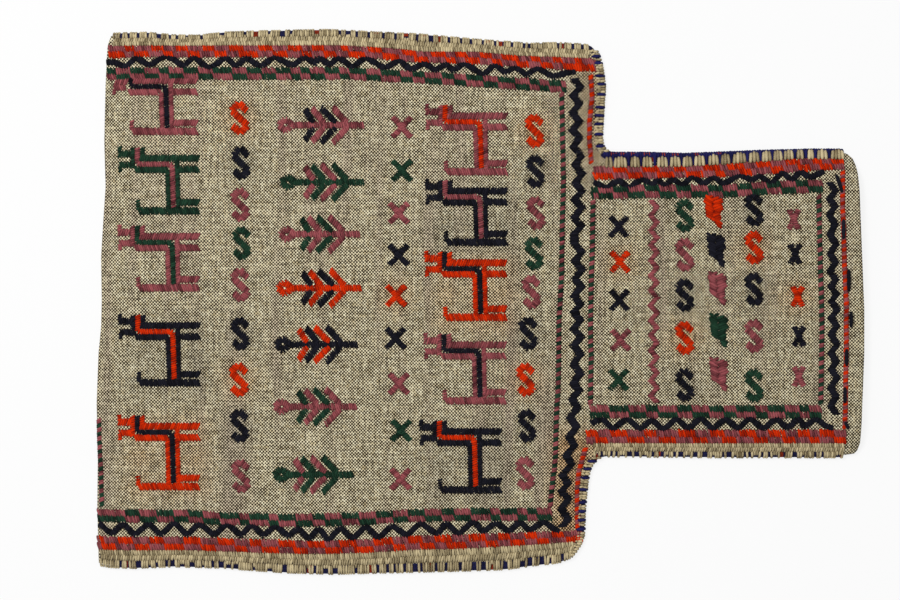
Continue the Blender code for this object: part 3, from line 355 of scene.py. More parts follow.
class Yarn:
    """Stitches of one colour, gathered until they become one piece."""

    def __init__(self):
        self.bends = []
        self.widths = []
        self.tones = []

    def bend(self, start, middle, end, width):
        """A stitch through three points, as a bent bead of yarn."""
        self.bends.append((start, middle, end))
        self.widths.append(width)
        self.tones.append(rng.uniform(*STITCH_TONES))

    def flat(self, x, y, angle, length, width, lift=0.0):
        """A stitch that lies on the cloth, dipping into it at both ends."""
        dx = math.cos(angle) * length / 2
        dy = math.sin(angle) * length / 2
        jitter = rng.uniform(-STITCH_JITTER, STITCH_JITTER, 2)
        x += jitter[0]
        y += jitter[1]
        ends = top(np.array([x - dx, x, x + dx]), np.array([y - dy, y, y + dy]))
        self.bend((x - dx, y - dy, ends[0] - STITCH_DIP + lift), (x, y, ends[1] + STITCH_HUMP + lift),
                  (x + dx, y + dy, ends[2] - STITCH_DIP + lift), width)

    def mesh(self):
        """All stitches as points and faces, with a tone for each point: the stitch's random tone, with
        painted shade that makes it darker low down on its sides and at the ends.
        """
        bends = np.array(self.bends)
        count = len(bends)
        start, middle, end = bends[:, 0], bends[:, 1], bends[:, 2]
        t = RINGS[None, :, None]
        line = (1 - t) ** 2 * start[:, None] + 2 * t * (1 - t) * middle[:, None] + t ** 2 * end[:, None]
        heading = 2 * (1 - t) * (middle - start)[:, None] + 2 * t * (end - middle)[:, None]
        heading /= np.linalg.norm(heading, axis=2, keepdims=True)
        run = end - start
        side = np.stack([-run[:, 1], run[:, 0], np.zeros(count)], axis=1)
        side /= np.maximum(np.linalg.norm(side, axis=1, keepdims=True), 1e-9)
        side = np.repeat(side[:, None], len(RINGS), axis=1)
        up = np.cross(heading, side)
        size = np.array(self.widths)[:, None] / 2 * RING_SIZE[None, :]
        turn = (np.arange(SIDES) + 0.5) * 2 * math.pi / SIDES
        across = side[:, :, None] * np.cos(turn)[None, None, :, None]
        upward = up[:, :, None] * np.sin(turn)[None, None, :, None] * STITCH_HEIGHT
        points = line[:, :, None] + (across + upward) * size[:, :, None, None]
        rings = len(RINGS)
        quads = []
        for ring in range(rings - 1):
            for k in range(SIDES):
                a = ring * SIDES + k
                b = ring * SIDES + (k + 1) % SIDES
                quads.append((a, b, b + SIDES, a + SIDES))
        caps = [tuple(reversed(range(SIDES))), tuple(range((rings - 1) * SIDES, rings * SIDES))]
        faces = [tuple(first + corner for corner in face)
                 for first in range(0, count * rings * SIDES, rings * SIDES) for face in quads + caps]
        # Painted shade: each point's tone drops on the stitch's sides and underside and at its narrow ends,
        # as shade in the gaps between stitches
        shade = np.maximum(np.sin(turn), -0.5)[None, :] * SIDE_SHADE - SIDE_SHADE
        shade = shade + (RING_SIZE[:, None] - 1) * SIDE_SHADE
        tones = np.array(self.tones)[:, None] + shade.reshape(1, -1)
        return points.reshape(-1, 3), faces, tones.ravel()

    def piece(self, name, colour, nodes=()):
        """The gathered stitches as one piece, which stands for its CAD nodes."""
        points, faces, tones = self.mesh()
        made = make_piece(name, points, faces, materials[colour], nodes)
        point_values(made, "tone_and_shade", tones)


def walk(points, step, look=1.4):
    """Places at even steps along a line of points, each with its heading over a short stretch."""
    path = np.array(points, dtype=float)
    lengths = np.hypot(*np.diff(path, axis=0).T)
    total = np.concatenate([[0], np.cumsum(lengths)])
    count = max(int(round(total[-1] / step)), 1)
    at = (np.arange(count) + 0.5) * total[-1] / count
    x, y = (np.interp(at, total, path[:, axis]) for axis in (0, 1))
    dx, dy = (np.interp(at + look, total, path[:, axis]) - np.interp(at - look, total, path[:, axis])
              for axis in (0, 1))
    return x, y, np.arctan2(dy, dx)


def eased(points, radius=2.0):
    """A line that turns its corners softly, within the radius of each."""
    path = [np.array(point, dtype=float) for point in points]
    soft = [path[0]]
    for before, corner, after in zip(path[:-2], path[1:-1], path[2:]):
        near = corner + (before - corner) * min(radius / np.linalg.norm(before - corner), 0.45)
        far = corner + (after - corner) * min(radius / np.linalg.norm(after - corner), 0.45)
        soft += [near, (near + 2 * corner + far) / 4, far]
    return soft + [path[-1]]


def stroke(yarn, points, width, lean=0.5, pitch=1.7, thick=1.85):
    """Stitches laid across a line, side by side along it."""
    x, y, heading = walk(points, pitch)
    angle = heading + math.pi / 2 + lean + rng.uniform(-0.07, 0.07, len(x))
    length = (width / math.cos(lean) + 0.7) * rng.uniform(0.95, 1.05, len(x))
    for place in zip(x, y, angle, length):
        yarn.flat(*place, thick)


def x_at(line, y):
    """The x at y of a line that runs from the top down."""
    return np.interp(-y, [-b for _, b in line], [a for a, _ in line])


def teeth(yarn, points, length, lean=0.1, pitch=1.5):
    """A zigzag down a line, of parallel stitches that all lie across the line as a whole."""
    start, end = points[0][1], points[-1][1]
    count = int(abs(end - start) / pitch)
    for share in (np.arange(count) + 0.5) / count:
        y = start + (end - start) * share
        yarn.flat(x_at(points, y), y, lean + rng.uniform(-0.08, 0.08), length * rng.uniform(0.95, 1.05), 2.1)


def strokes(yarn, points, width, lean, pitch=1.7):
    """A line of straight strokes, each with its own stitches."""
    for near, far in zip(points[:-1], points[1:]):
        stroke(yarn, [near, far], width, lean, pitch)


def spans(x, runs):
    """Whether x lies in one of the runs."""
    return any(low <= x <= high for low, high in runs)


def checked_rows(upper, lower, x0, x1, top_runs, low_runs, first, second):
    """Two rows of stitches between two edges: first's colour inside the runs, second's outside them."""
    for share, runs in ((0.75, top_runs), (0.25, low_runs)):
        for x in np.arange(x0, x1, ROW_STEP):
            high = along(upper, x)
            low = along(lower, x)
            y = low + (high - low) * share
            if x < along(LEFT, y) + 0.6:
                continue
            target = first if spans(x, runs) else second
            angle = math.pi / 2 + ROW_LEAN + rng.uniform(-0.16, 0.16)
            y += rng.uniform(-0.35, 0.35)
            length = ((high - low) / 2 + 1.7) * rng.uniform(0.88, 1.12)
            target.flat(x, y, angle, length, rng.uniform(1.9, 2.3))


def beads(points, pair, pitch=3.4, width=3.2):
    """A dotted line: two stitches of one colour, then two of the other."""
    for index, (x, y, heading) in enumerate(zip(*walk(points, pitch / 2))):
        pair[(index // 2) % 2].flat(x, y, heading + math.pi / 2 + 0.45, width + 0.9, 2.2)


def body_rows(count_side, count_middle):
    """Shares across the body: from its lower edge to the neck, over the neck, and on to its upper edge."""
    low = [("low", k / count_side) for k in range(count_side)]
    middle = [("middle", k / count_middle) for k in range(count_middle)]
    high = [("high", k / count_side) for k in range(count_side + 1)]
    return low + middle + high


def row_y(row, x, inset):
    """The y of a row at x, with the outer rows held in from the bag's edge."""
    band, share = row
    bottom = float(along(LOW, x)) + inset
    roof = float(along(TOP, x)) - inset
    if band == "low":
        return bottom + (NECK_JOIN_LOW + inset - bottom) * share
    if band == "middle":
        return NECK_JOIN_LOW + inset + (NECK_JOIN_TOP - NECK_JOIN_LOW - 2 * inset) * share
    return NECK_JOIN_TOP - inset + (roof - NECK_JOIN_TOP + inset) * share


def cloth_grid(step, inset, edge_start):
    """Rows and columns of the whole cloth: the body, then the neck on the body's middle rows.

    Each x starts from a guess and is fitted to its y, and the y to it, in a few rounds.
    """
    side, middle, columns, neck_columns = (
        max(int(round(span / step)), 2) for span in (SIDE_SPAN, MIDDLE_SPAN, BODY_SPAN, NECK_SPAN))
    rows = body_rows(side, middle)
    grid = {}
    for j, row in enumerate(rows):
        beside_neck = row[0] == "low" or (row[0] == "high" and row[1] != 0)
        for i in range(columns + 1):
            share = i / columns
            x = -290.0 + 380 * share
            for _ in range(FITTING_ROUNDS):
                y = row_y(row, x, inset)
                left = float(along(LEFT, y)) + edge_start
                right = float(right_of_body(np.array(y)))
                if beside_neck:
                    right -= inset
                x = left + (right - left) * share
            grid[(i, j)] = (x, y)
    first = side
    last = side + middle
    for j in range(first, last + 1):
        across = (j - first) / (last - first)
        x0 = grid[(columns, j)][0]
        for i in range(1, neck_columns + 1):
            share = i / neck_columns
            x = x0 + (295 - x0) * share
            for _ in range(FITTING_ROUNDS):
                low = float(along(NECK_LOW, x)) + inset
                high = float(along(NECK_TOP, x)) - inset
                y = low + (high - low) * across
                x = x0 + (float(along(MOUTH, y)) - x0) * share
            grid[(columns + i, j)] = (x, y)
    quads = []
    for i in range(columns + neck_columns):
        for j in range(len(rows) - 1):
            corners = ((i, j), (i + 1, j), (i + 1, j + 1), (i, j + 1))
            if all(corner in grid for corner in corners) and (i < columns or first <= j < last):
                quads.append(corners)
    return grid, quads, len(rows)


def sheet_from(name, places, quads, material, nodes):
    """A cloth piece from places {key: (x, y, z, cloth x, cloth y)}, and the keys in the points' order."""
    keys = sorted(places)
    index = {key: number for number, key in enumerate(keys)}
    points = np.array([places[key][:3] for key in keys])
    faces = [tuple(index[corner] for corner in quad) for quad in quads]
    piece = make_piece(name, points, faces, material, nodes)
    cloth_uv(piece, np.array([places[key][3:5] for key in keys]))
    solid = piece.modifiers.new("thickness", "SOLIDIFY")
    solid.thickness = CLOTH * MM
    solid.offset = 0.0
    solid.use_even_offset = False
    return piece, keys


def make_front_cloth():
    """The front cloth with its turn at the base fold and the part below, and each point's (x, y)."""
    grid, quads, rows = cloth_grid(3.0, 2.2, FOLD_REACH)
    places = {key: (x, y, float(top(x, y)) - CLOTH / 2, x, y) for key, (x, y) in grid.items()}
    edge_z = EDGE_TOP - CLOTH / 2
    for j in range(rows):
        x0, y0 = grid[(0, j)]
        for step in range(1, FOLD_STEPS + 1):
            angle = math.pi * step / FOLD_STEPS
            x = x0 - FOLD_RADIUS * math.sin(angle)
            z = edge_z - FOLD_RADIUS * (1 - math.cos(angle))
            places[(-step, j)] = (x, y0, z, x0 - FOLD_RADIUS * angle, y0)
        for step in range(1, TUCK_STEPS + 1):
            run = TUCK * step / TUCK_STEPS
            places[(-FOLD_STEPS - step, j)] = (x0 + run, y0, CLOTH / 2, x0 - FOLD_RADIUS * math.pi - run, y0)
    for i in range(-FOLD_STEPS - TUCK_STEPS, 0):
        quads += [((i, j), (i + 1, j), (i + 1, j + 1), (i, j + 1)) for j in range(rows - 1)]
    piece, keys = sheet_from("front_cloth", places, quads, ground, ["front_panel"])
    return piece, np.array([places[key][:2] for key in keys])


def make_back_cloth():
    """The back cloth, which lies flat and starts where the front's turned part ends."""
    grid, quads, _ = cloth_grid(4.0, 1.6, FOLD_REACH + TUCK + 0.5)
    places = {key: (x, y, CLOTH / 2, x, y) for key, (x, y) in grid.items()}
    return sheet_from("back_cloth", places, quads, back_weave, ["back_panel"])[0]


def outline(upper):
    """The closed edge from the base fold to the mouth, above or below the middle."""
    if upper:
        path = [(x, y) for x, y in TOP if -288 <= x < 92]
        path += [(x, y) for y, x in reversed(SHOULDER_TOP) if y < 197]
        path += [(x, y) for x, y in NECK_TOP if 104 < x < 288] + [(286, 118)]
        return path
    path = [(x, y) for x, y in LOW if -296 <= x <= 75] + [(x, y) for y, x in SHOULDER_LOW if y > -196]
    return path + [(x, y) for x, y in NECK_LOW if 98 < x < 286] + [(285, -122)]


def rounded_path(path, step):
    """The path at even steps, with its corners eased."""
    x, y, _ = walk(path, step)
    for _ in range(2):
        x[1:-1] = (x[:-2] + 2 * x[1:-1] + x[2:]) / 4
        y[1:-1] = (y[:-2] + 2 * y[1:-1] + y[2:]) / 4
    return x, y


def make_binding(name, upper):
    """The navy edge of the back cloth, which comes up the bag's side and over its front.

    Only a narrow edge comes over the front along the shoulders and at the mouth's corners.
    """
    x, y = rounded_path(outline(upper), BINDING_STEP)
    dx = np.gradient(x)
    dy = np.gradient(y)
    run = np.concatenate([[0], np.cumsum(np.hypot(np.diff(x), np.diff(y)))])
    narrow = np.clip((x - 70) / 15, 0, 1) * np.clip((np.abs(y) - 121) / 3, 0, 1)
    narrow = np.maximum(narrow, np.clip((x - 278) / 5, 0, 1))
    inward = np.stack([dy, -dx], axis=1) / np.hypot(dx, dy)[:, None]
    if not upper:
        inward = -inward
    loops = []
    for depth, height, on_cloth in BINDING_SECTION:
        reach = np.minimum(depth, depth + (2.0 + 0.15 * depth - depth) * narrow)
        px = x + inward[:, 0] * reach
        py = y + inward[:, 1] * reach
        pz = top(px, py) + height if on_cloth else np.full(len(x), height)
        loops.append(np.stack([px, py, pz], axis=1))
    count = len(BINDING_SECTION)
    faces = []
    for i in range(len(x) - 1):
        for k in range(count):
            a = i * count + k
            b = i * count + (k + 1) % count
            face = (a, b, b + count, a + count)
            faces.append(face[::-1] if upper else face)
    faces.append(tuple(range(count)))
    faces.append(tuple(reversed(range((len(x) - 1) * count, len(x) * count))))
    piece = make_piece(name, np.stack(loops, axis=1).reshape(-1, 3), faces, back_weave)
    cloth_uv(piece, np.stack([np.repeat(run, count), np.tile(np.arange(count) * 1.3, len(x))], axis=1))


class Borders:
    """Rows of border blocks, as edges and runs read from the photograph."""

    upper_outer = (
        ((-300, 200), (-110, 200), (-80, 198.5), (-60, 197), (-45, 195), (0, 195), (30, 192), (90, 190)),
        ((-300, 191), (-110, 191), (-80, 190), (-50, 187), (0, 185.5), (20, 184), (60, 181.5), (90, 180)))
    upper_outer_runs = (
         ((-277, -269), (-256, -247), (-238, -228), (-217, -206), (-195, -183.5), (-173, -161), (-149, -138),
        (-131, -121), (-109, -102), (-88, -75), (-61, -50), (-38, -26.5), (-18, -9), (0, 9), (17, 30),
        (40, 47), (57, 65), (75, 80)), ((-291, -277), (-270, -258), (-247, -238.5), (-228.5, -217.5),
        (-206, -197), (-187, -173), (-161, -150), (-139, -130.5), (-121, -111), (-103, -89), (-75, -62),
        (-51, -39.5), (-27, -19), (-11, 0), (10, 17), (29, 39), (47, 57), (64, 90)))
    lower_outer = (
        ((-300, -184), (-230, -184), (-170, -186), (-130, -187), (-90, -186), (-50, -183), (-10, -182),
        (15, -181), (50, -180), (75, -179.5)), ((-300, -194), (-230, -194), (-170, -196), (-130, -197),
        (-90, -196), (-50, -193.5), (-10, -192.5), (15, -191), (50, -189), (75, -187.5)))
    lower_outer_runs = (
         ((-298, -294), (-282, -270), (-258, -245), (-231, -217), (-204, -190.5), (-180, -170), (-157, -144),
        (-133, -120), (-109, -95), (-83, -67), (-55, -45), (-35, -22), (-9, 4), (14, 24), (35.5, 45),
        (56, 66)), ((-296, -283), (-269, -258), (-245, -231), (-217, -206), (-191.5, -181), (-170, -157),
        (-145, -134), (-121, -107.5), (-97, -83), (-68, -57), (-46, -35), (-25, -10), (4, 15), (24, 35),
        (45, 55), (67, 80)))
    upper_inner = (
        ((-300, 182), (-100, 182), (0, 176), (70, 171)), ((-300, 173.5), (-100, 173.5), (0, 168), (70, 163)))
    upper_inner_runs = (
         ((-293, -283), (-273, -262), (-250, -242), (-231, -220), (-208, -193), (-181, -170), (-159, -148),
        (-139, -131), (-121, -110), (-101, -88), (-76, -61), (-52, -42), (-29, -20), (-10, 3), (15, 28),
        (39, 47), (55, 64)),)
    lower_inner = (
        ((-300, -163), (-230, -163), (-200, -165), (-150, -166.5), (-90, -165), (-60, -163), (-20, -162),
        (60, -161.5)), ((-300, -171.7), (-230, -171.7), (-200, -173.7), (-150, -175.2), (-90, -173.7),
        (-60, -171.7), (-20, -170.7), (60, -170.2)))
    lower_inner_runs = (
         ((-277, -264), (-252, -239), (-227, -215.5), (-202, -187), (-179, -165), (-156, -143), (-130, -120),
        (-108, -94), (-81, -68), (-55, -43), (-30, -20), (-6, 8), (17, 29), (37, 45)),)
    neck_upper_outer = (
        ((88, 105), (105, 105), (160, 105.5), (185, 107), (220, 109.5), (245, 111.5), (290, 111.5)),
        ((88, 95.5), (160, 97), (195, 97.5), (215, 99), (245, 101.5), (275, 103.5), (290, 104)))
    neck_upper_outer_runs = (
         ((104, 116), (127, 140), (151, 161), (174, 187), (193, 207), (217, 227), (239, 250), (261, 268),
        (275, 285)), ((90, 104), (115, 127), (138, 151), (161, 174), (184, 192), (204, 213), (227, 237),
        (249, 258), (266, 276)))
    neck_upper_inner = (
        ((88, 88.5), (95, 88.5), (130, 91), (190, 90), (210, 92), (240, 94), (270, 94.5)), ((88, 80.5),
        (130, 81), (190, 81.5), (210, 83), (240, 84.5), (270, 86)))
    neck_upper_inner_runs = (
         ((88, 92), (104, 116), (129, 141), (153, 165), (178, 190), (201, 213), (224, 236), (246, 256)),)
    neck_lower_inner = (((85, -81.5), (270, -81.5)), ((85, -90.5), (270, -90.5)))
    neck_lower_inner_runs = (
         ((102, 116), (129, 140), (155, 165), (179, 191), (201, 216), (225, 238), (249, 258)),)
    neck_lower_outer = (((84, -100.5), (290, -100.5)), ((84, -110.7), (290, -110.7)))
    neck_lower_outer_runs = (
         ((84, 92), (103, 116), (129, 139), (155, 168), (180, 191), (203, 216), (226, 238), (248, 258),
        (266, 277)), ((91, 101), (116, 128), (140, 154), (167, 179), (190, 201), (214, 225), (237, 247),
        (258, 265), (276, 286)))


def opposite(runs, x0, x1):
    """The runs of the second row, where the first row has its other colour."""
    ends = [x0] + [end for run in runs[0] for end in run] + [x1]
    return runs[0], tuple((ends[k], ends[k + 1]) for k in range(0, len(ends), 2))


def make_borders():
    b = Borders
    orange, rose, green, inner_rose = Yarn(), Yarn(), Yarn(), Yarn()
    for edges, runs, x0, x1 in ((b.upper_outer, b.upper_outer_runs, -299, 91),
                                (b.lower_outer, b.lower_outer_runs, -300, 81),
                                (b.neck_upper_outer, b.neck_upper_outer_runs, 90, 285.5),
                                (b.neck_lower_outer, b.neck_lower_outer_runs, 84, 286.5)):
        checked_rows(*edges, x0, x1, *runs, orange, rose)
    shoulder = [[(87, 177), (88, 160), (86, 140), (86, 124), (87.5, 108)],
                [(83, -114), (78, -131), (76.5, -145), (76.5, -170), (77, -177)]]
    for line in shoulder:
        beads(line, (orange, rose))
    beads([(283.5, 102), (283, 80), (284, 50), (284.5, 30), (286, 0), (286, -30), (285.5, -60), (285, -99)],
          (orange, rose), 3.0, 3.0)
    orange.piece("outer_border_orange", "orange", ["outer_border_blocks"])
    rose.piece("outer_border_maroon", "maroon", ["outer_border_ground"])
    for edges, runs, x0, x1 in ((b.upper_inner, b.upper_inner_runs, -300, 67),
                                (b.lower_inner, b.lower_inner_runs, -300, 57)):
        checked_rows(*edges, x0, x1, *opposite(runs, x0, x1), green, inner_rose)
    beads([(64, 163), (65.5, 95), (64.5, 60), (64, 20), (62, -15), (61.5, -60), (60, -90), (59, -125),
           (57, -140), (55, -160)], (inner_rose, green))
    beads([(-298, -92), (-297.2, -115), (-296.2, -130), (-295.2, -160)], (inner_rose, green))
    green.piece("body_inner_green", "green", ["body_inner_ground"])
    inner_rose.piece("body_inner_maroon", "maroon", ["body_inner_blocks"])
    green, inner_rose = Yarn(), Yarn()
    for edges, runs, x0, x1 in ((b.neck_upper_inner, b.neck_upper_inner_runs, 88, 267),
                                (b.neck_lower_inner, b.neck_lower_inner_runs, 87, 266)):
        checked_rows(*edges, x0, x1, *opposite(runs, x0, x1), green, inner_rose)
    beads([(88.5, 79), (88, 40), (87, 10), (86.5, -20), (87, -45), (86.5, -80)], (inner_rose, green))
    beads([(264.5, 83), (265, 60), (266.5, 0), (267, -20), (266, -80)], (inner_rose, green))
    green.piece("neck_inner_green", "green", ["neck_inner_ground"])
    inner_rose.piece("neck_inner_maroon", "maroon", ["neck_inner_blocks"])


# The zigzags: the long ones by their turns (x, y), the others by the bulges on their right and left
UPPER_ZIGZAG = (
    (-292, 187.5), (-285, 187), (-276, 183.5), (-268, 190), (-257.5, 184.5), (-246, 191), (-240, 190),
    (-231, 184), (-223, 190.5), (-211, 182), (-198, 190), (-189.5, 183.5), (-182.5, 190), (-170.5, 183.5),
    (-160, 190.5), (-146, 184.5), (-136, 190.5), (-128, 186), (-125, 190), (-117, 185), (-110, 190),
    (-99, 183), (-89, 190), (-74, 182.5), (-62, 188), (-54, 181), (-43, 185.5), (-34, 180.5), (-27, 185),
    (-20, 180.5), (-12, 185.5), (3, 177), (12, 184.5), (20, 179), (28, 182.5), (37, 177), (45, 182),
    (57, 176), (68, 178.5), (75, 179.5))
LOWER_ZIGZAG = (
    (-298, -173.5), (-287, -181), (-278, -173.5), (-269, -181.5), (-258, -173.5), (-248.5, -181.5),
    (-238, -172.5), (-228, -181.5), (-218.5, -173.5), (-207, -181.5), (-196.5, -173.5), (-186, -182),
    (-177.5, -174), (-168.5, -182), (-159, -175), (-149, -182.5), (-141.5, -177), (-133, -185), (-125, -177),
    (-118, -186), (-108.5, -176.5), (-99, -184.5), (-88.5, -175.5), (-79, -184), (-68, -175), (-57, -182),
    (-46, -173), (-33, -181), (-26, -173), (-16.5, -181), (-5, -171.5), (3, -179), (13, -173), (23, -179),
    (31.5, -172), (39, -178), (50, -172), (62, -180))
SIDE_RIGHT = (
    (80, 167), (80, 155), (80, 141), (80, 128), (82, 113), (83, 99), (83, 86), (83, 73), (82, 57.5),
    (83, 40), (83, 24), (82, 10), (83, -3), (82.5, -15), (83, -28), (82, -43), (82, -58), (80.5, -70),
    (79.5, -83), (78.5, -98), (76, -112), (73, -126), (70, -141), (71.5, -152), (71.5, -170))
SIDE_LEFT = (
    (73, 174), (71, 160), (70.5, 147), (70.5, 133), (71, 121), (72, 107), (71.5, 93), (71, 80), (70.5, 66),
    (71, 55), (71, 43), (71, 31), (72, 20), (70.5, 5), (69.5, -7), (69, -21), (70, -33), (70, -46),
    (70.5, -63), (69, -75), (67.5, -90), (67.5, -106), (66.5, -120), (63.5, -137), (62, -149), (62, -163),
    (62, -176))
NECK_UPPER_ZIGZAG = (
    (89, 93), (99, 89), (109, 94.5), (116, 88.5), (127, 95.5), (135, 91), (139, 95), (144, 90), (151, 95.5),
    (158, 90.5), (166, 97.5), (175, 92), (183, 97), (190, 92), (203, 98.5), (213, 95), (218, 98), (228, 92),
    (236, 101), (244, 94.5), (250, 101), (258, 97), (269, 102))
NECK_LOWER_ZIGZAG = (
    (87, -95), (96, -92), (104, -99), (115, -91.5), (125, -99), (134, -92.5), (143.5, -99.5), (153.5, -91.5),
    (163, -99), (172.5, -91), (182, -99), (192, -91.5), (201.5, -99), (210.5, -91), (221.5, -99),
    (231, -91.5), (240.5, -98.5), (248.5, -91.5), (254, -97.5), (261.5, -91.5), (270, -97), (276, -99))
MOUTH_RIGHT = (
    (281, 86), (280, 74), (279.5, 61), (280, 44), (279, 30), (280, 16), (281, 6), (282, -6), (280.5, -18.5),
    (281, -33), (280, -46), (281.5, -57), (280, -72), (281, -88))
MOUTH_LEFT = (
    (269, 93), (270, 80), (270, 68), (271.5, 52), (271.5, 38), (271.5, 24), (271.5, 12), (271.5, 0),
    (271.5, -13), (272, -26), (272, -41), (272, -54), (271.5, -69), (271.5, -83))


def swing(right, left, reach):
    """A zigzag's line from the top down, which turns at reach to both sides, level with its bulges there."""
    points = []
    for bulges, side in ((right, 1), (left, -1)):
        for _, y in bulges:
            middle = (x_at(right, y) + x_at(left, y)) / 2
            points.append((middle + reach * side, y))
    path = np.array(sorted(points, key=lambda point: -point[1]))
    path[1:-1, 1] = path[1:-1, 1] / 2 + (path[:-2, 1] + path[2:, 1]) / 4
    return path


def sharpened(line, reach=0.7):
    """A zigzag along x with its peaks and dips moved further out."""
    sharp = [line[0]]
    for before, here, after in zip(line[:-2], line[1:-1], line[2:]):
        out = 1 if here[1] > max(before[1], after[1]) else -1 if here[1] < min(before[1], after[1]) else 0
        sharp.append((here[0], here[1] + reach * out))
    return sharp + [line[-1]]


def make_zigzags():
    for name, lines, right, left, reach, length in (
            ("body_zigzag", (UPPER_ZIGZAG, LOWER_ZIGZAG), SIDE_RIGHT, SIDE_LEFT, 2.7, 7.2),
            ("neck_zigzag", (NECK_UPPER_ZIGZAG, NECK_LOWER_ZIGZAG), MOUTH_RIGHT, MOUTH_LEFT, 2.2, 6.2)):
        yarn = Yarn()
        for line in lines:
            stroke(yarn, eased(sharpened(line), 0.8), 4.2, 0.2, 1.4)
        teeth(yarn, swing(right, left, reach), length)
        yarn.piece(name + "_navy", "navy", [name])


def bar(yarn, x0, x1, y, width, lean):
    """A straight stroke along x."""
    stroke(yarn, [(x0, y), (x1, y)], width * 1.1, lean * 0.75)


def make_goat(name, x, y, drop, reach, outline_colour, line_colour):
    """A goat on its side: an outline of bars round an inner line that turns at (x, y).

    The one crowded by the border has no room for its horns.
    """
    coat = Yarn()
    foot = y - drop - 2.3
    crowded = y > CROWDED_FROM
    bar(coat, x - 25, x + reach, y + 4.7, 4.6, -0.55)
    bar(coat, x - 29, x - 2.5, y - 4.2, 4.4, 0.55)
    bar(coat, x + 3, x + reach, y - 4.0, 4.6, 0.55)
    if crowded:
        bar(coat, x - 40, x - 29, y + 4, 4.8, -0.5)
    else:
        stroke(coat, [(x - 22.8, y + 6), (x - 22.8, y + 13)], 3.4, 0.4)
        stroke(coat, [(x - 30.4, y - 3), (x - 30.4, y + 13)], 3.2, 0.4)
        bar(coat, x - 42, x - 31, y + 8, 4.8, -0.5)
        stroke(coat, [(x - 41, y + 9), (x - 41, y + 14)], 2.6, 0.3)
    bar(coat, x - 41, x - 31, y - 0.5, 4.2, 0.5)
    stroke(coat, [(x - 40.5, y - 1), (x - 40.5, y - 6)], 2.4, 0.3)
    stroke(coat, [(x - 3.2, y - 5), (x - 2.2, y - drop - 1)], 3.2, 0.5)
    stroke(coat, [(x + 4.3, y + 3), (x + 5.2, y - drop)], 3.0, 0.5)
    bar(coat, x + 5, x + reach, foot + 6.6, 4.4, -0.55)
    bar(coat, x - 26, x + reach, foot, 5.0, 0.55)
    stroke(coat, [(x - 26.2, foot + 8.5), (x - 26, foot + 1)], 2.8, 0.3)
    coat.piece(name + "_coat", outline_colour, [name])
    line = Yarn()
    stroke(line, eased([(x - 26.8, y + (7.5 if crowded else 13)), (x - 26.8, y), (x + 0.3, y),
                        (x + 1.6, y - drop + 0.5)]), 3.8, 0.3, 1.7)
    line.piece(name + "_inner", line_colour, [name + "_line"])


# Goats: name, the inner line's turn (x, y), its drop, the legs' reach, the outline's and the line's colour
GOATS = (
     ("left_goat_1", -245, 167.5, 32.5, 25, "maroon", "navy"),
    ("left_goat_2", -240, 107, 34, 21.5, "green", "maroon"),
    ("left_goat_3", -240, 46, 33, 21.5, "maroon", "green"),
    ("left_goat_4", -239.5, -23.5, 37.5, 21.5, "navy", "orange"),
    ("left_goat_5", -240, -102, 40, 21.5, "orange", "navy"),
    ("right_goat_1", 0, 140, 36.5, 21.5, "maroon", "orange"),
    ("right_goat_2", 0, 81.5, 33, 21.5, "navy", "maroon"),
    ("right_goat_3", -0.5, 25.5, 35.5, 21.5, "orange", "navy"),
    ("right_goat_4", -1, -38.5, 36.5, 21.5, "maroon", "navy"),
    ("right_goat_5", -4.5, -106, 38.5, 21.5, "navy", "orange"))

# Trees: y, left end, right tip, colour and second colour
TREES = (
    (137.5, -158, -90, "maroon", "navy"), (93, -156, -90, "green", "maroon"),
    (52.5, -157, -93, "maroon", "green"), (10.5, -158.5, -92, "orange", "navy"),
    (-33.5, -160, -95, "navy", "orange"), (-82, -161, -95.5, "maroon", "green"),
    (-135, -161.5, -98, "green", "maroon"))


def colour_pieces(prefix, yarns):
    """One piece for each colour, of figures that the CAD fuses to the front cloth."""
    for colour, yarn in yarns.items():
        yarn.piece(prefix + colour, colour, ["front_panel"])


def make_trees():
    """Trees on their side: a stem, a round root at its left end, and branches in the two colours by turns."""
    second = {}
    for number, (y, left, tip, colour, other) in enumerate(TREES, 1):
        tree = Yarn()
        branches = second.setdefault(other, Yarn())
        for yarn, root, dx, dy in ((tree, 13, 11.5, 14.0), (branches, 22, 11.5, 13.5), (tree, 31, 9.5, 13.0),
                                   (branches, 39.5, 6.5, 12.0)):
            for side in (1, -1):
                branch = [(tip - root, y + 1.5 * side), (tip - root - dx, y + dy * side)]
                stroke(yarn, branch, 4.6, 0.35 * side)
        bar(tree, left + 11, tip, y, 4.4, 0.3)
        for side in (1, -1):
            blob = [(left + 1.5, y), (left + 6.5, y + 4.4 * side), (left + 12, y + 0.6 * side)]
            stroke(tree, blob, 4.6, 0.2)
        tree.piece(f"tree_{number}_yarn", colour, [f"tree_{number}"])
    colour_pieces("second_branches_", second)


# The S hook's line, hooks as (x, y, colour), and crosses as (x, y, reach, colour)
HOOK = ((5.7, 5.6), (-0.4, 11.6), (-6.0, 5.8), (6.0, -5.8), (0.6, -11.6), (-5.4, -6.0))
HOOKS = (
     (-187, 143, "orange"), (-186, 108, "navy"), (-186.5, 75.5, "maroon"), (-185.5, 45.5, "green"),
    (-186.5, 13, "maroon"), (-186.5, -25, "navy"), (-187.5, -61, "orange"), (-187, -97, "navy"),
    (-186, -136, "maroon"), (43, 133, "orange"), (43.5, 101.5, "navy"), (44, 69, "maroon"),
    (42.5, 37.5, "green"), (40.5, 7.5, "maroon"), (38, -25, "navy"), (36, -61, "orange"), (37, -97, "navy"),
    (35.5, -134, "maroon"), (160, 67, "green"), (160, 36.5, "maroon"), (160, 5, "navy"),
    (160, -28.5, "orange"), (160, -65, "navy"), (214, 71.5, "navy"), (214, 42, "orange"), (214, 9.5, "navy"),
    (214, -27, "maroon"), (214, -65.5, "green"))
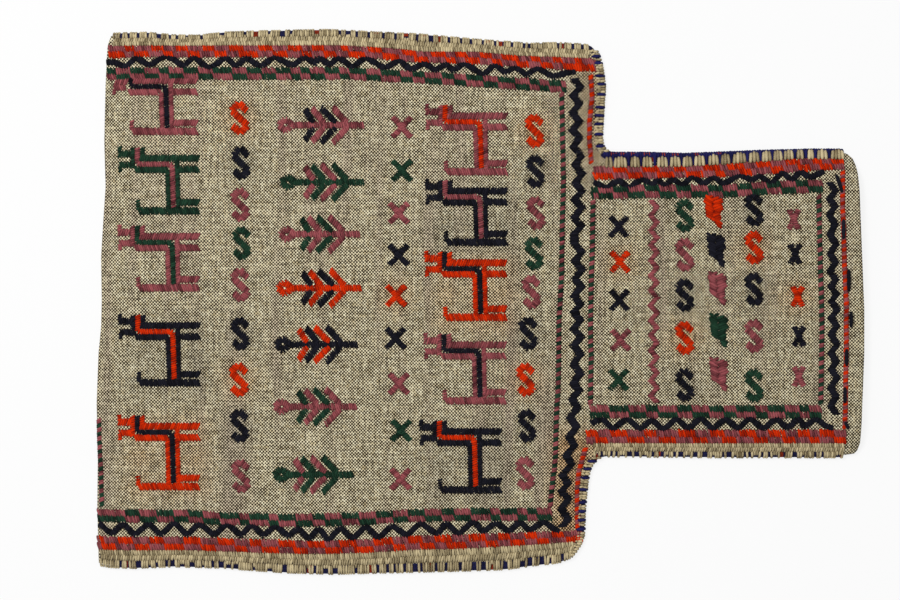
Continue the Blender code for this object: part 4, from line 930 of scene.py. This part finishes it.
CROSSES = (
     (-60.5, 136, 9, "maroon"), (-60.5, 102, 9, "green"), (-63, 69, 9, "maroon"), (-63, 36.5, 9, "navy"),
    (-65, 4.5, 9, "orange"), (-65.5, -28.5, 9, "navy"), (-63, -64, 9, "maroon"), (-61, -100.5, 9, "green"),
    (-61.5, -138.5, 9, "maroon"), (108.5, 58.5, 8.5, "navy"), (109.5, 31, 8.5, "orange"),
    (109, 1, 8.5, "navy"), (110, -30, 8.5, "maroon"), (108.5, -61, 8.5, "green"), (245, 64, 5.5, "maroon"),
    (246, 37, 5.5, "navy"), (248, 4, 5.5, "orange"), (249, -27, 5.5, "navy"), (249, -58.5, 5.5, "maroon"))

# The leaf's edges as (height, x), and leaves as (x, y, colour)
LEAF_LEFT = ((-12.5, 4.5), (-9, 2.5), (-5, -3), (-2, -6.3), (2, -4.8), (5, -6.8), (9, -6), (12.5, -6.3))
LEAF_RIGHT = ((-12.5, 6.2), (-9, 7), (-4, 5), (0, 6.8), (7, 7), (10.5, 5), (12.5, -2))
LEAVES = (
    (182, 70, "orange"), (184, 40, "navy"), (185, 10, "maroon"), (186, -22.5, "green"), (186, -57, "maroon"))


def make_hooks():
    hooks = {}
    for x, y, colour in HOOKS:
        strokes(hooks.setdefault(colour, Yarn()), [(x + a, y + b) for a, b in HOOK], 5.1, 0.15)
    colour_pieces("hooks_", hooks)


def make_crosses():
    """Crosses of four eased arms that pass through the centre."""
    crosses = {}
    for x, y, reach, colour in CROSSES:
        yarn = crosses.setdefault(colour, Yarn())
        a = reach - 1.6
        for side, upward in ((1, 1), (1, -1), (-1, 1), (-1, -1)):
            arm = [(x + a * side, y + 7.6 * upward), (x + a * side * 0.62, y + 5.4 * upward),
                   (x - a * side * 0.15, y - 1.2 * upward)]
            stroke(yarn, eased(arm, 1.5), 3.9, 0.2 * side * upward, 1.6)
    colour_pieces("crosses_", crosses)


def make_wave():
    wave = Yarn()
    points = [(135.8 + (2.7 if k % 2 else -2.5), 79 - 5.85 * k) for k in range(28)]
    teeth(wave, points, 4.8)
    wave.piece("neck_wave_yarn", "maroon", ["neck_wave"])


def make_leaves():
    """Leaves of one or two columns of leaning stitches."""
    for number, (x, y, colour) in enumerate(LEAVES, 1):
        leaf = Yarn()
        for row, height in enumerate(np.arange(12.0, -12.5, -1.8)):
            left, right = along(LEAF_LEFT, height), along(LEAF_RIGHT, height)
            count = 2 if right - left > 6 else 1
            for k in range(count):
                place = left + (right - left) * (k + 0.5) / count
                lobe = 0.8 * math.sin(1.9 * row + math.pi * k)
                length = (right - left) / count + 1.6
                leaf.flat(x + place + lobe, y + height, -0.55 + 0.9 * k, length, 2.7)
        leaf.piece(f"neck_leaf_{number}_yarn", colour, [f"neck_leaf_{number}"])


# The navy wedges between the cream edge stitches: x, and the y to which each reaches in
UPPER_GAPS = (
    (-281, 204), (-275, 203.5), (-267, 204), (-259, 203.5), (-251, 204), (-243, 204.5), (-237, 203.5),
    (-229, 206.5), (-218, 206), (-201.5, 208), (-183, 208.5), (-175, 206.5), (-165, 209), (-154, 206.5),
    (-147.5, 209), (-127.5, 209), (-109, 208.5), (-102.5, 208.5), (-95.5, 205), (-86, 206.5), (-75, 204.5),
    (-66, 203.5), (-57, 206), (-48, 203.5), (-38, 203), (-31, 200), (-24, 201), (-14, 201), (-7, 201),
    (3, 198), (12, 200), (17, 197), (26, 197), (35, 195), (39, 197.5), (49, 201.5), (62, 197), (66, 197),
    (73, 198.5), (80, 197), (87, 196), (90, 196))
LOWER_GAPS = (
    (-280.5, -202.5), (-275.5, -202), (-266.5, -202), (-258, -206), (-252.5, -203.5), (-245, -203),
    (-240, -201.5), (-232, -205), (-225, -203.5), (-216, -206), (-209, -202.5), (-202, -202),
    (-196.5, -205.5), (-190.5, -205), (-176, -207.5), (-164, -208.5), (-152.5, -206.5), (-134.5, -208.5),
    (-129, -207), (-120, -208.5), (-112.5, -208), (-97, -208), (-85.5, -206), (-79, -204.5), (-72, -203),
    (-66.5, -205), (-59, -205.5), (-50, -203), (-45, -202), (-33.5, -203), (-26, -199), (-15, -201),
    (-4, -202), (3.5, -202), (10, -205), (20, -203), (34, -202.5), (39.5, -197), (49, -196), (55, -200),
    (65, -193.5), (73, -200), (78, -190))
NECK_GAP_PLACES = (
    92, 95.5, 99, 103.5, 107, 112, 117.5, 123, 129.5, 136, 142, 147, 152.5, 158, 163.5, 169, 177, 183, 191,
    195, 200.5, 207.5, 212, 216.5, 221.5, 226.5, 232, 237, 247, 253.5, 263, 268.5, 281)
NECK_GAPS = tuple((x, -115.5 - 2.2 * (k % 3)) for k, x in enumerate(NECK_GAP_PLACES))

# The shoulders' navy bars by y, and the neck's cream blocks and rust stitches by their ends along x
UPPER_BARS = (192, 186.5, 176.5, 170, 162, 152, 145.5, 139, 131, 121.5)
LOWER_BARS = (-178, -171, -164, -157, -147, -138, -131, -125)
NECK_BLOCKS = (
    (98, 104), (105, 115), (118, 125), (127.5, 135), (139, 147), (149, 157), (159, 166), (168, 176),
    (179, 187), (189, 195.5), (198, 208.5), (211, 218.5), (221, 228), (230, 236.5), (238, 245.5),
    (248, 253.5), (257, 261), (264, 272), (275, 285))
NECK_RUST = ((102, 108), (111, 115), (119, 123), (129, 134), (142, 146), (150, 157), (168, 173), (186, 190))
BODY_RUST = (-82, -59, -45, 5)

# The mouth's running stitches, by their ends
MOUTH_STITCHES = (
    ((278, 99), (282.5, 85)), ((283.5, 64), (283.5, 49)), ((287.5, 25), (287.5, 8)),
    ((289.5, -8), (289.5, -20)), ((286, -37), (286, -50)), ((284.5, -67), (284.5, -79)),
    ((285, -94), (287.5, -99)))


def gap_at(place, gaps, reach):
    """The tip of the gap that lies at a place, or None."""
    for middle, tip in gaps:
        if abs(place - middle) <= reach:
            return tip
    return None


def over_edge(yarn, x, y, outer_y, width):
    """A stitch from (x, y) on the cloth, over the bag's edge at outer_y and down its side."""
    side = 1 if outer_y > y else -1
    lean = rng.uniform(-0.5, 0.5)
    rim = float(top(x, outer_y))
    inner = float(top(x, y))
    yarn.bend((x + lean, y, inner + 0.1), (x + lean / 2, (y + outer_y) / 2, (inner + rim) / 2 + 1.5),
              (x, outer_y - 0.6 * side, rim + 0.3), width)
    yarn.bend((x, outer_y - 1.6 * side, rim + 0.3), (x, outer_y + 0.6 * side, rim + 0.6),
              (x - lean, outer_y + 0.2 * side, 0.9), width)


def edge_band(yarn, x0, x1, inner_edge, outer_edge, gaps, reach):
    """A seam's cream yarn: two inner rows of short stitches, then one over the edge, which the gaps break."""
    outward = 1 if gaps[0][1] > 0 else -1
    for x in np.arange(x0, x1, ROW_STEP):
        inner = float(along(inner_edge, x))
        outer = float(along(outer_edge, x))
        row = (outer - inner) * 0.27
        for k in range(2):
            angle = math.pi / 2 + rng.uniform(0.0, 0.35) * (1 - 2 * k)
            yarn.flat(x + 0.9 * k, inner + row * (k + 0.6), angle, abs(row) + 1.0, rng.uniform(1.8, 2.3),
                      lift=0.4)
        tip = gap_at(x, gaps, reach)
        start = inner + row * 2.1
        if tip is None:
            over_edge(yarn, x, start, outer, rng.uniform(1.9, 2.4))
        elif (tip - start) * outward > 1.5:
            yarn.flat(x, (start + tip) / 2, math.pi / 2, abs(tip - start) + 0.6, 2.0, lift=0.4)


def make_shoulder(name, table, y0, y1, bars):
    """Loose cream stitches up the body's right edge, with single navy ones among them."""
    cream, navy = Yarn(), Yarn()
    for y in np.arange(y0, y1, 2.1):
        edge = float(along(table, y))
        if gap_at(y, [(place, place) for place in bars], 1.2) is None:
            cream.flat(edge - 4.6, y + rng.uniform(-0.4, 0.4), rng.uniform(-0.6, 0.6), 3.6,
                       rng.uniform(1.8, 2.3))
            side_stitch(cream, edge - 3.2, edge, y, rng.uniform(1.9, 2.4))
    for y in bars:
        edge = float(along(table, y))
        side_stitch(navy, edge - rng.uniform(5.5, 7.0), edge, y, 2.6)
    cream.piece(name + "_puffs", "cream")
    navy.piece(name + "_yarn", "seam_navy", [name])


def side_stitch(yarn, x0, x1, y, width):
    """A stitch from x0 on the cloth out over the body's right edge at x1."""
    start = float(top(x0, y))
    lean = rng.uniform(-0.4, 0.4)
    yarn.bend((x0, y + lean, start - 0.1), ((x0 + x1) / 2, y, start + 1.9), (x1, y, EDGE_TOP + 0.5), width)
    yarn.bend((x1 - 1, y, EDGE_TOP + 0.5), (x1 + 0.8, y, EDGE_TOP + 0.4), (x1 + 0.2, y - lean, 0.9), width)


def make_seams():
    for name, x0, x1, inner, outer, gaps, reach in (
            ("upper_body_seam", -286, 86, Borders.upper_outer[0], TOP, UPPER_GAPS, 1.15),
            ("lower_body_seam", -296, 74, Borders.lower_outer[1], LOW, LOWER_GAPS, 1.4),
            ("lower_neck_seam", 90, 285, Borders.neck_lower_outer[1], NECK_LOW, NECK_GAPS, 1.5)):
        yarn = Yarn()
        edge_band(yarn, x0, x1, inner, outer, gaps, reach)
        yarn.piece(name + "_yarn", "cream", [name])
    make_shoulder("upper_shoulder_seam", SHOULDER_TOP, 118, 197, UPPER_BARS)
    make_shoulder("lower_shoulder_seam", SHOULDER_LOW, -198, -122, LOWER_BARS)


def make_neck_edge():
    """The upper neck seam: puffed cream blocks, and navy between them and over the edge."""
    cream = Yarn()
    for x0, x1 in NECK_BLOCKS:
        count = max(int(round((x1 - x0) / 2.4)), 2)
        for k in range(count):
            share = (k + 0.5) / count
            x = x0 + (x1 - x0) * share
            low = float(along(Borders.neck_upper_outer[0], x)) + 0.3
            high = min(low + 7.2, float(along(NECK_TOP, x)) - 0.6)
            puff = math.sin(math.pi * share)
            high -= 1.3 * (1 - puff)
            angle = math.pi / 2 + (share - 0.5) * 0.3
            cream.flat(x, (low + high) / 2, angle, high - low + 1.4, 3.0, lift=0.5 + 0.9 * puff)
    cream.piece("neck_edge_blocks", "cream")
    navy = Yarn()
    for (_, x0), (x1, _) in zip(NECK_BLOCKS[:-1], NECK_BLOCKS[1:]):
        x = (x0 + x1) / 2
        low = float(along(Borders.neck_upper_outer[0], x)) + 0.4
        over_edge(navy, x, low, float(along(NECK_TOP, x)), 2.6)
    for x in np.arange(98, 285, 2.0):
        edge = float(along(NECK_TOP, x))
        over_edge(navy, x, edge - (4.0 if x < 200 else 2.4), edge, 2.3)
    navy.piece("upper_neck_seam_yarn", "seam_navy", ["upper_neck_seam"])


def make_rust_stitches():
    """The few rust threads that show at the upper edges."""
    rust = Yarn()

    def thread(x, y, width):
        rust.bend((x, y - 2, EDGE_TOP + 1.0), (x, y, EDGE_TOP + 1.2), (x, y + 0.8, 2.0), width)

    for x0, x1 in NECK_RUST:
        y = float(along(NECK_TOP, (x0 + x1) / 2)) - 0.2
        for x in np.arange(x0, x1, 1.4):
            thread(x, y, 1.7)
    for x in BODY_RUST:
        y = float(along(TOP, x)) - 0.6
        for step in range(3):
            thread(x + 1.3 * step, y, 1.6)
    rust.piece("rust_edge_stitches", "rust")


def make_mouth_stitches():
    thread = Yarn()
    for (x0, y0), (x1, y1) in MOUTH_STITCHES:
        angle = math.atan2(y1 - y0, x1 - x0)
        thread.flat((x0 + x1) / 2, (y0 + y1) / 2, angle, math.hypot(x1 - x0, y1 - y0), 3.2, lift=1.5)
    thread.piece("mouth_stitches", "navy", ["front_panel"])


def stain(places, spots):
    """How strongly each place takes on colour from the spots near it."""
    total = np.zeros(len(places))
    for x, y, strength in spots:
        distance = np.hypot(places[:, 0] - x, places[:, 1] - y)
        total = np.maximum(total, strength * np.exp(-(distance / STAIN_REACH) ** 2))
    return total


def goat_spots(colour, strength):
    """Spots over the goats of one colour, as (x, y, strength)."""
    return [(x + a, y - b, strength) for _, x, y, _, _, coat, _ in GOATS if coat == colour
            for a in (-25, 0, 18) for b in (0, 20, 40)]


def add_stains(piece, plan):
    """Faint colour that has run into the cloth round the orange and the navy figures."""
    orange = [(x, y, 0.45) for x, y, colour in HOOKS if colour == "orange"]
    orange += [(x, y, 0.4) for x, y, _, colour in CROSSES if colour == "orange"]
    orange += goat_spots("orange", 0.3)
    orange += [(x, y, 0.6) for x in (68, 78) for y in range(-185, -110, 12)]
    orange += [(90, y, 0.25) for y in range(115, 180, 12)]
    grey = [(x, y, 0.7) for x, y, colour in HOOKS if colour == "navy"]
    grey += goat_spots("navy", 0.6)
    for name, spots in zip(STAIN_TINTS, (orange, grey)):
        point_values(piece, name, stain(plan, spots))


def make_camera():
    """Straight above, as in the photograph."""
    data = bpy.data.cameras.new("camera")
    data.lens = 100
    data.sensor_width = 36
    camera = bpy.data.objects.new("camera", data)
    camera.location = (-0.023, 0.0012, 1.962)
    bpy.context.scene.collection.objects.link(camera)
    bpy.context.scene.camera = camera


def make_studio():
    """A white floor, which the camera sees nearly shadeless, an even world and one key light."""
    mesh = bpy.data.meshes.new("floor")
    mesh.from_pydata([(-4, -4, 0), (4, -4, 0), (4, 4, 0), (-4, 4, 0)], [], [(0, 1, 2, 3)])
    floor = bpy.data.objects.new("floor", mesh)
    floor.location.z = -0.0002
    bpy.context.scene.collection.objects.link(floor)
    n = Nodes("floor")
    n.shader.inputs["Base Color"].default_value = (0.86, 0.86, 0.86, 1)
    n.shader.inputs["Roughness"].default_value = 0.9
    seen = n.add("ShaderNodeLightPath").outputs["Is Camera Ray"]
    glow = n.add("ShaderNodeEmission", {"Color": (1, 1, 1, 1), "Strength": 1.0})
    share = n.math("MULTIPLY", seen, 0.85)
    mixed = n.add("ShaderNodeMixShader", {0: share, 1: n.shader.outputs[0], 2: glow.outputs[0]})
    output = n.tree.nodes["Material Output"]
    n.tree.links.new(mixed.outputs[0], output.inputs["Surface"])
    mesh.materials.append(n.material)
    world = bpy.data.worlds.new("studio")
    bpy.context.scene.world = world
    world.use_nodes = True
    background = world.node_tree.nodes["Background"]
    background.inputs["Color"].default_value = (1, 1, 1, 1)
    rays = world.node_tree.nodes.new("ShaderNodeLightPath")
    level = world.node_tree.nodes.new("ShaderNodeMapRange")
    level.inputs["To Min"].default_value = 0.42
    level.inputs["To Max"].default_value = 1.0
    world.node_tree.links.new(rays.outputs["Is Camera Ray"], level.inputs["Value"])
    world.node_tree.links.new(level.outputs["Result"], background.inputs["Strength"])
    light_data = bpy.data.lights.new("key", "AREA")
    light_data.energy = 26.5
    light_data.size = 0.6
    light = bpy.data.objects.new("key", light_data)
    light.location = (-0.6, 0.55, 1.85)
    light.rotation_euler = (-light.location).to_track_quat("-Z", "Y").to_euler()
    bpy.context.scene.collection.objects.link(light)


materials = {name: wool_material(name) for name in WOOL}
ground = ground_material()
back_weave = back_material()
front, plan = make_front_cloth()
add_stains(front, plan)
back = make_back_cloth()
make_binding("upper_binding", True)
make_binding("lower_binding", False)
make_seams()
make_neck_edge()
make_rust_stitches()
make_borders()
make_zigzags()
for goat in GOATS:
    make_goat(*goat)
make_trees()
make_hooks()
make_crosses()
make_wave()
make_leaves()
make_mouth_stitches()
make_camera()
make_studio()
bpy.context.scene.view_settings.view_transform = "Standard"
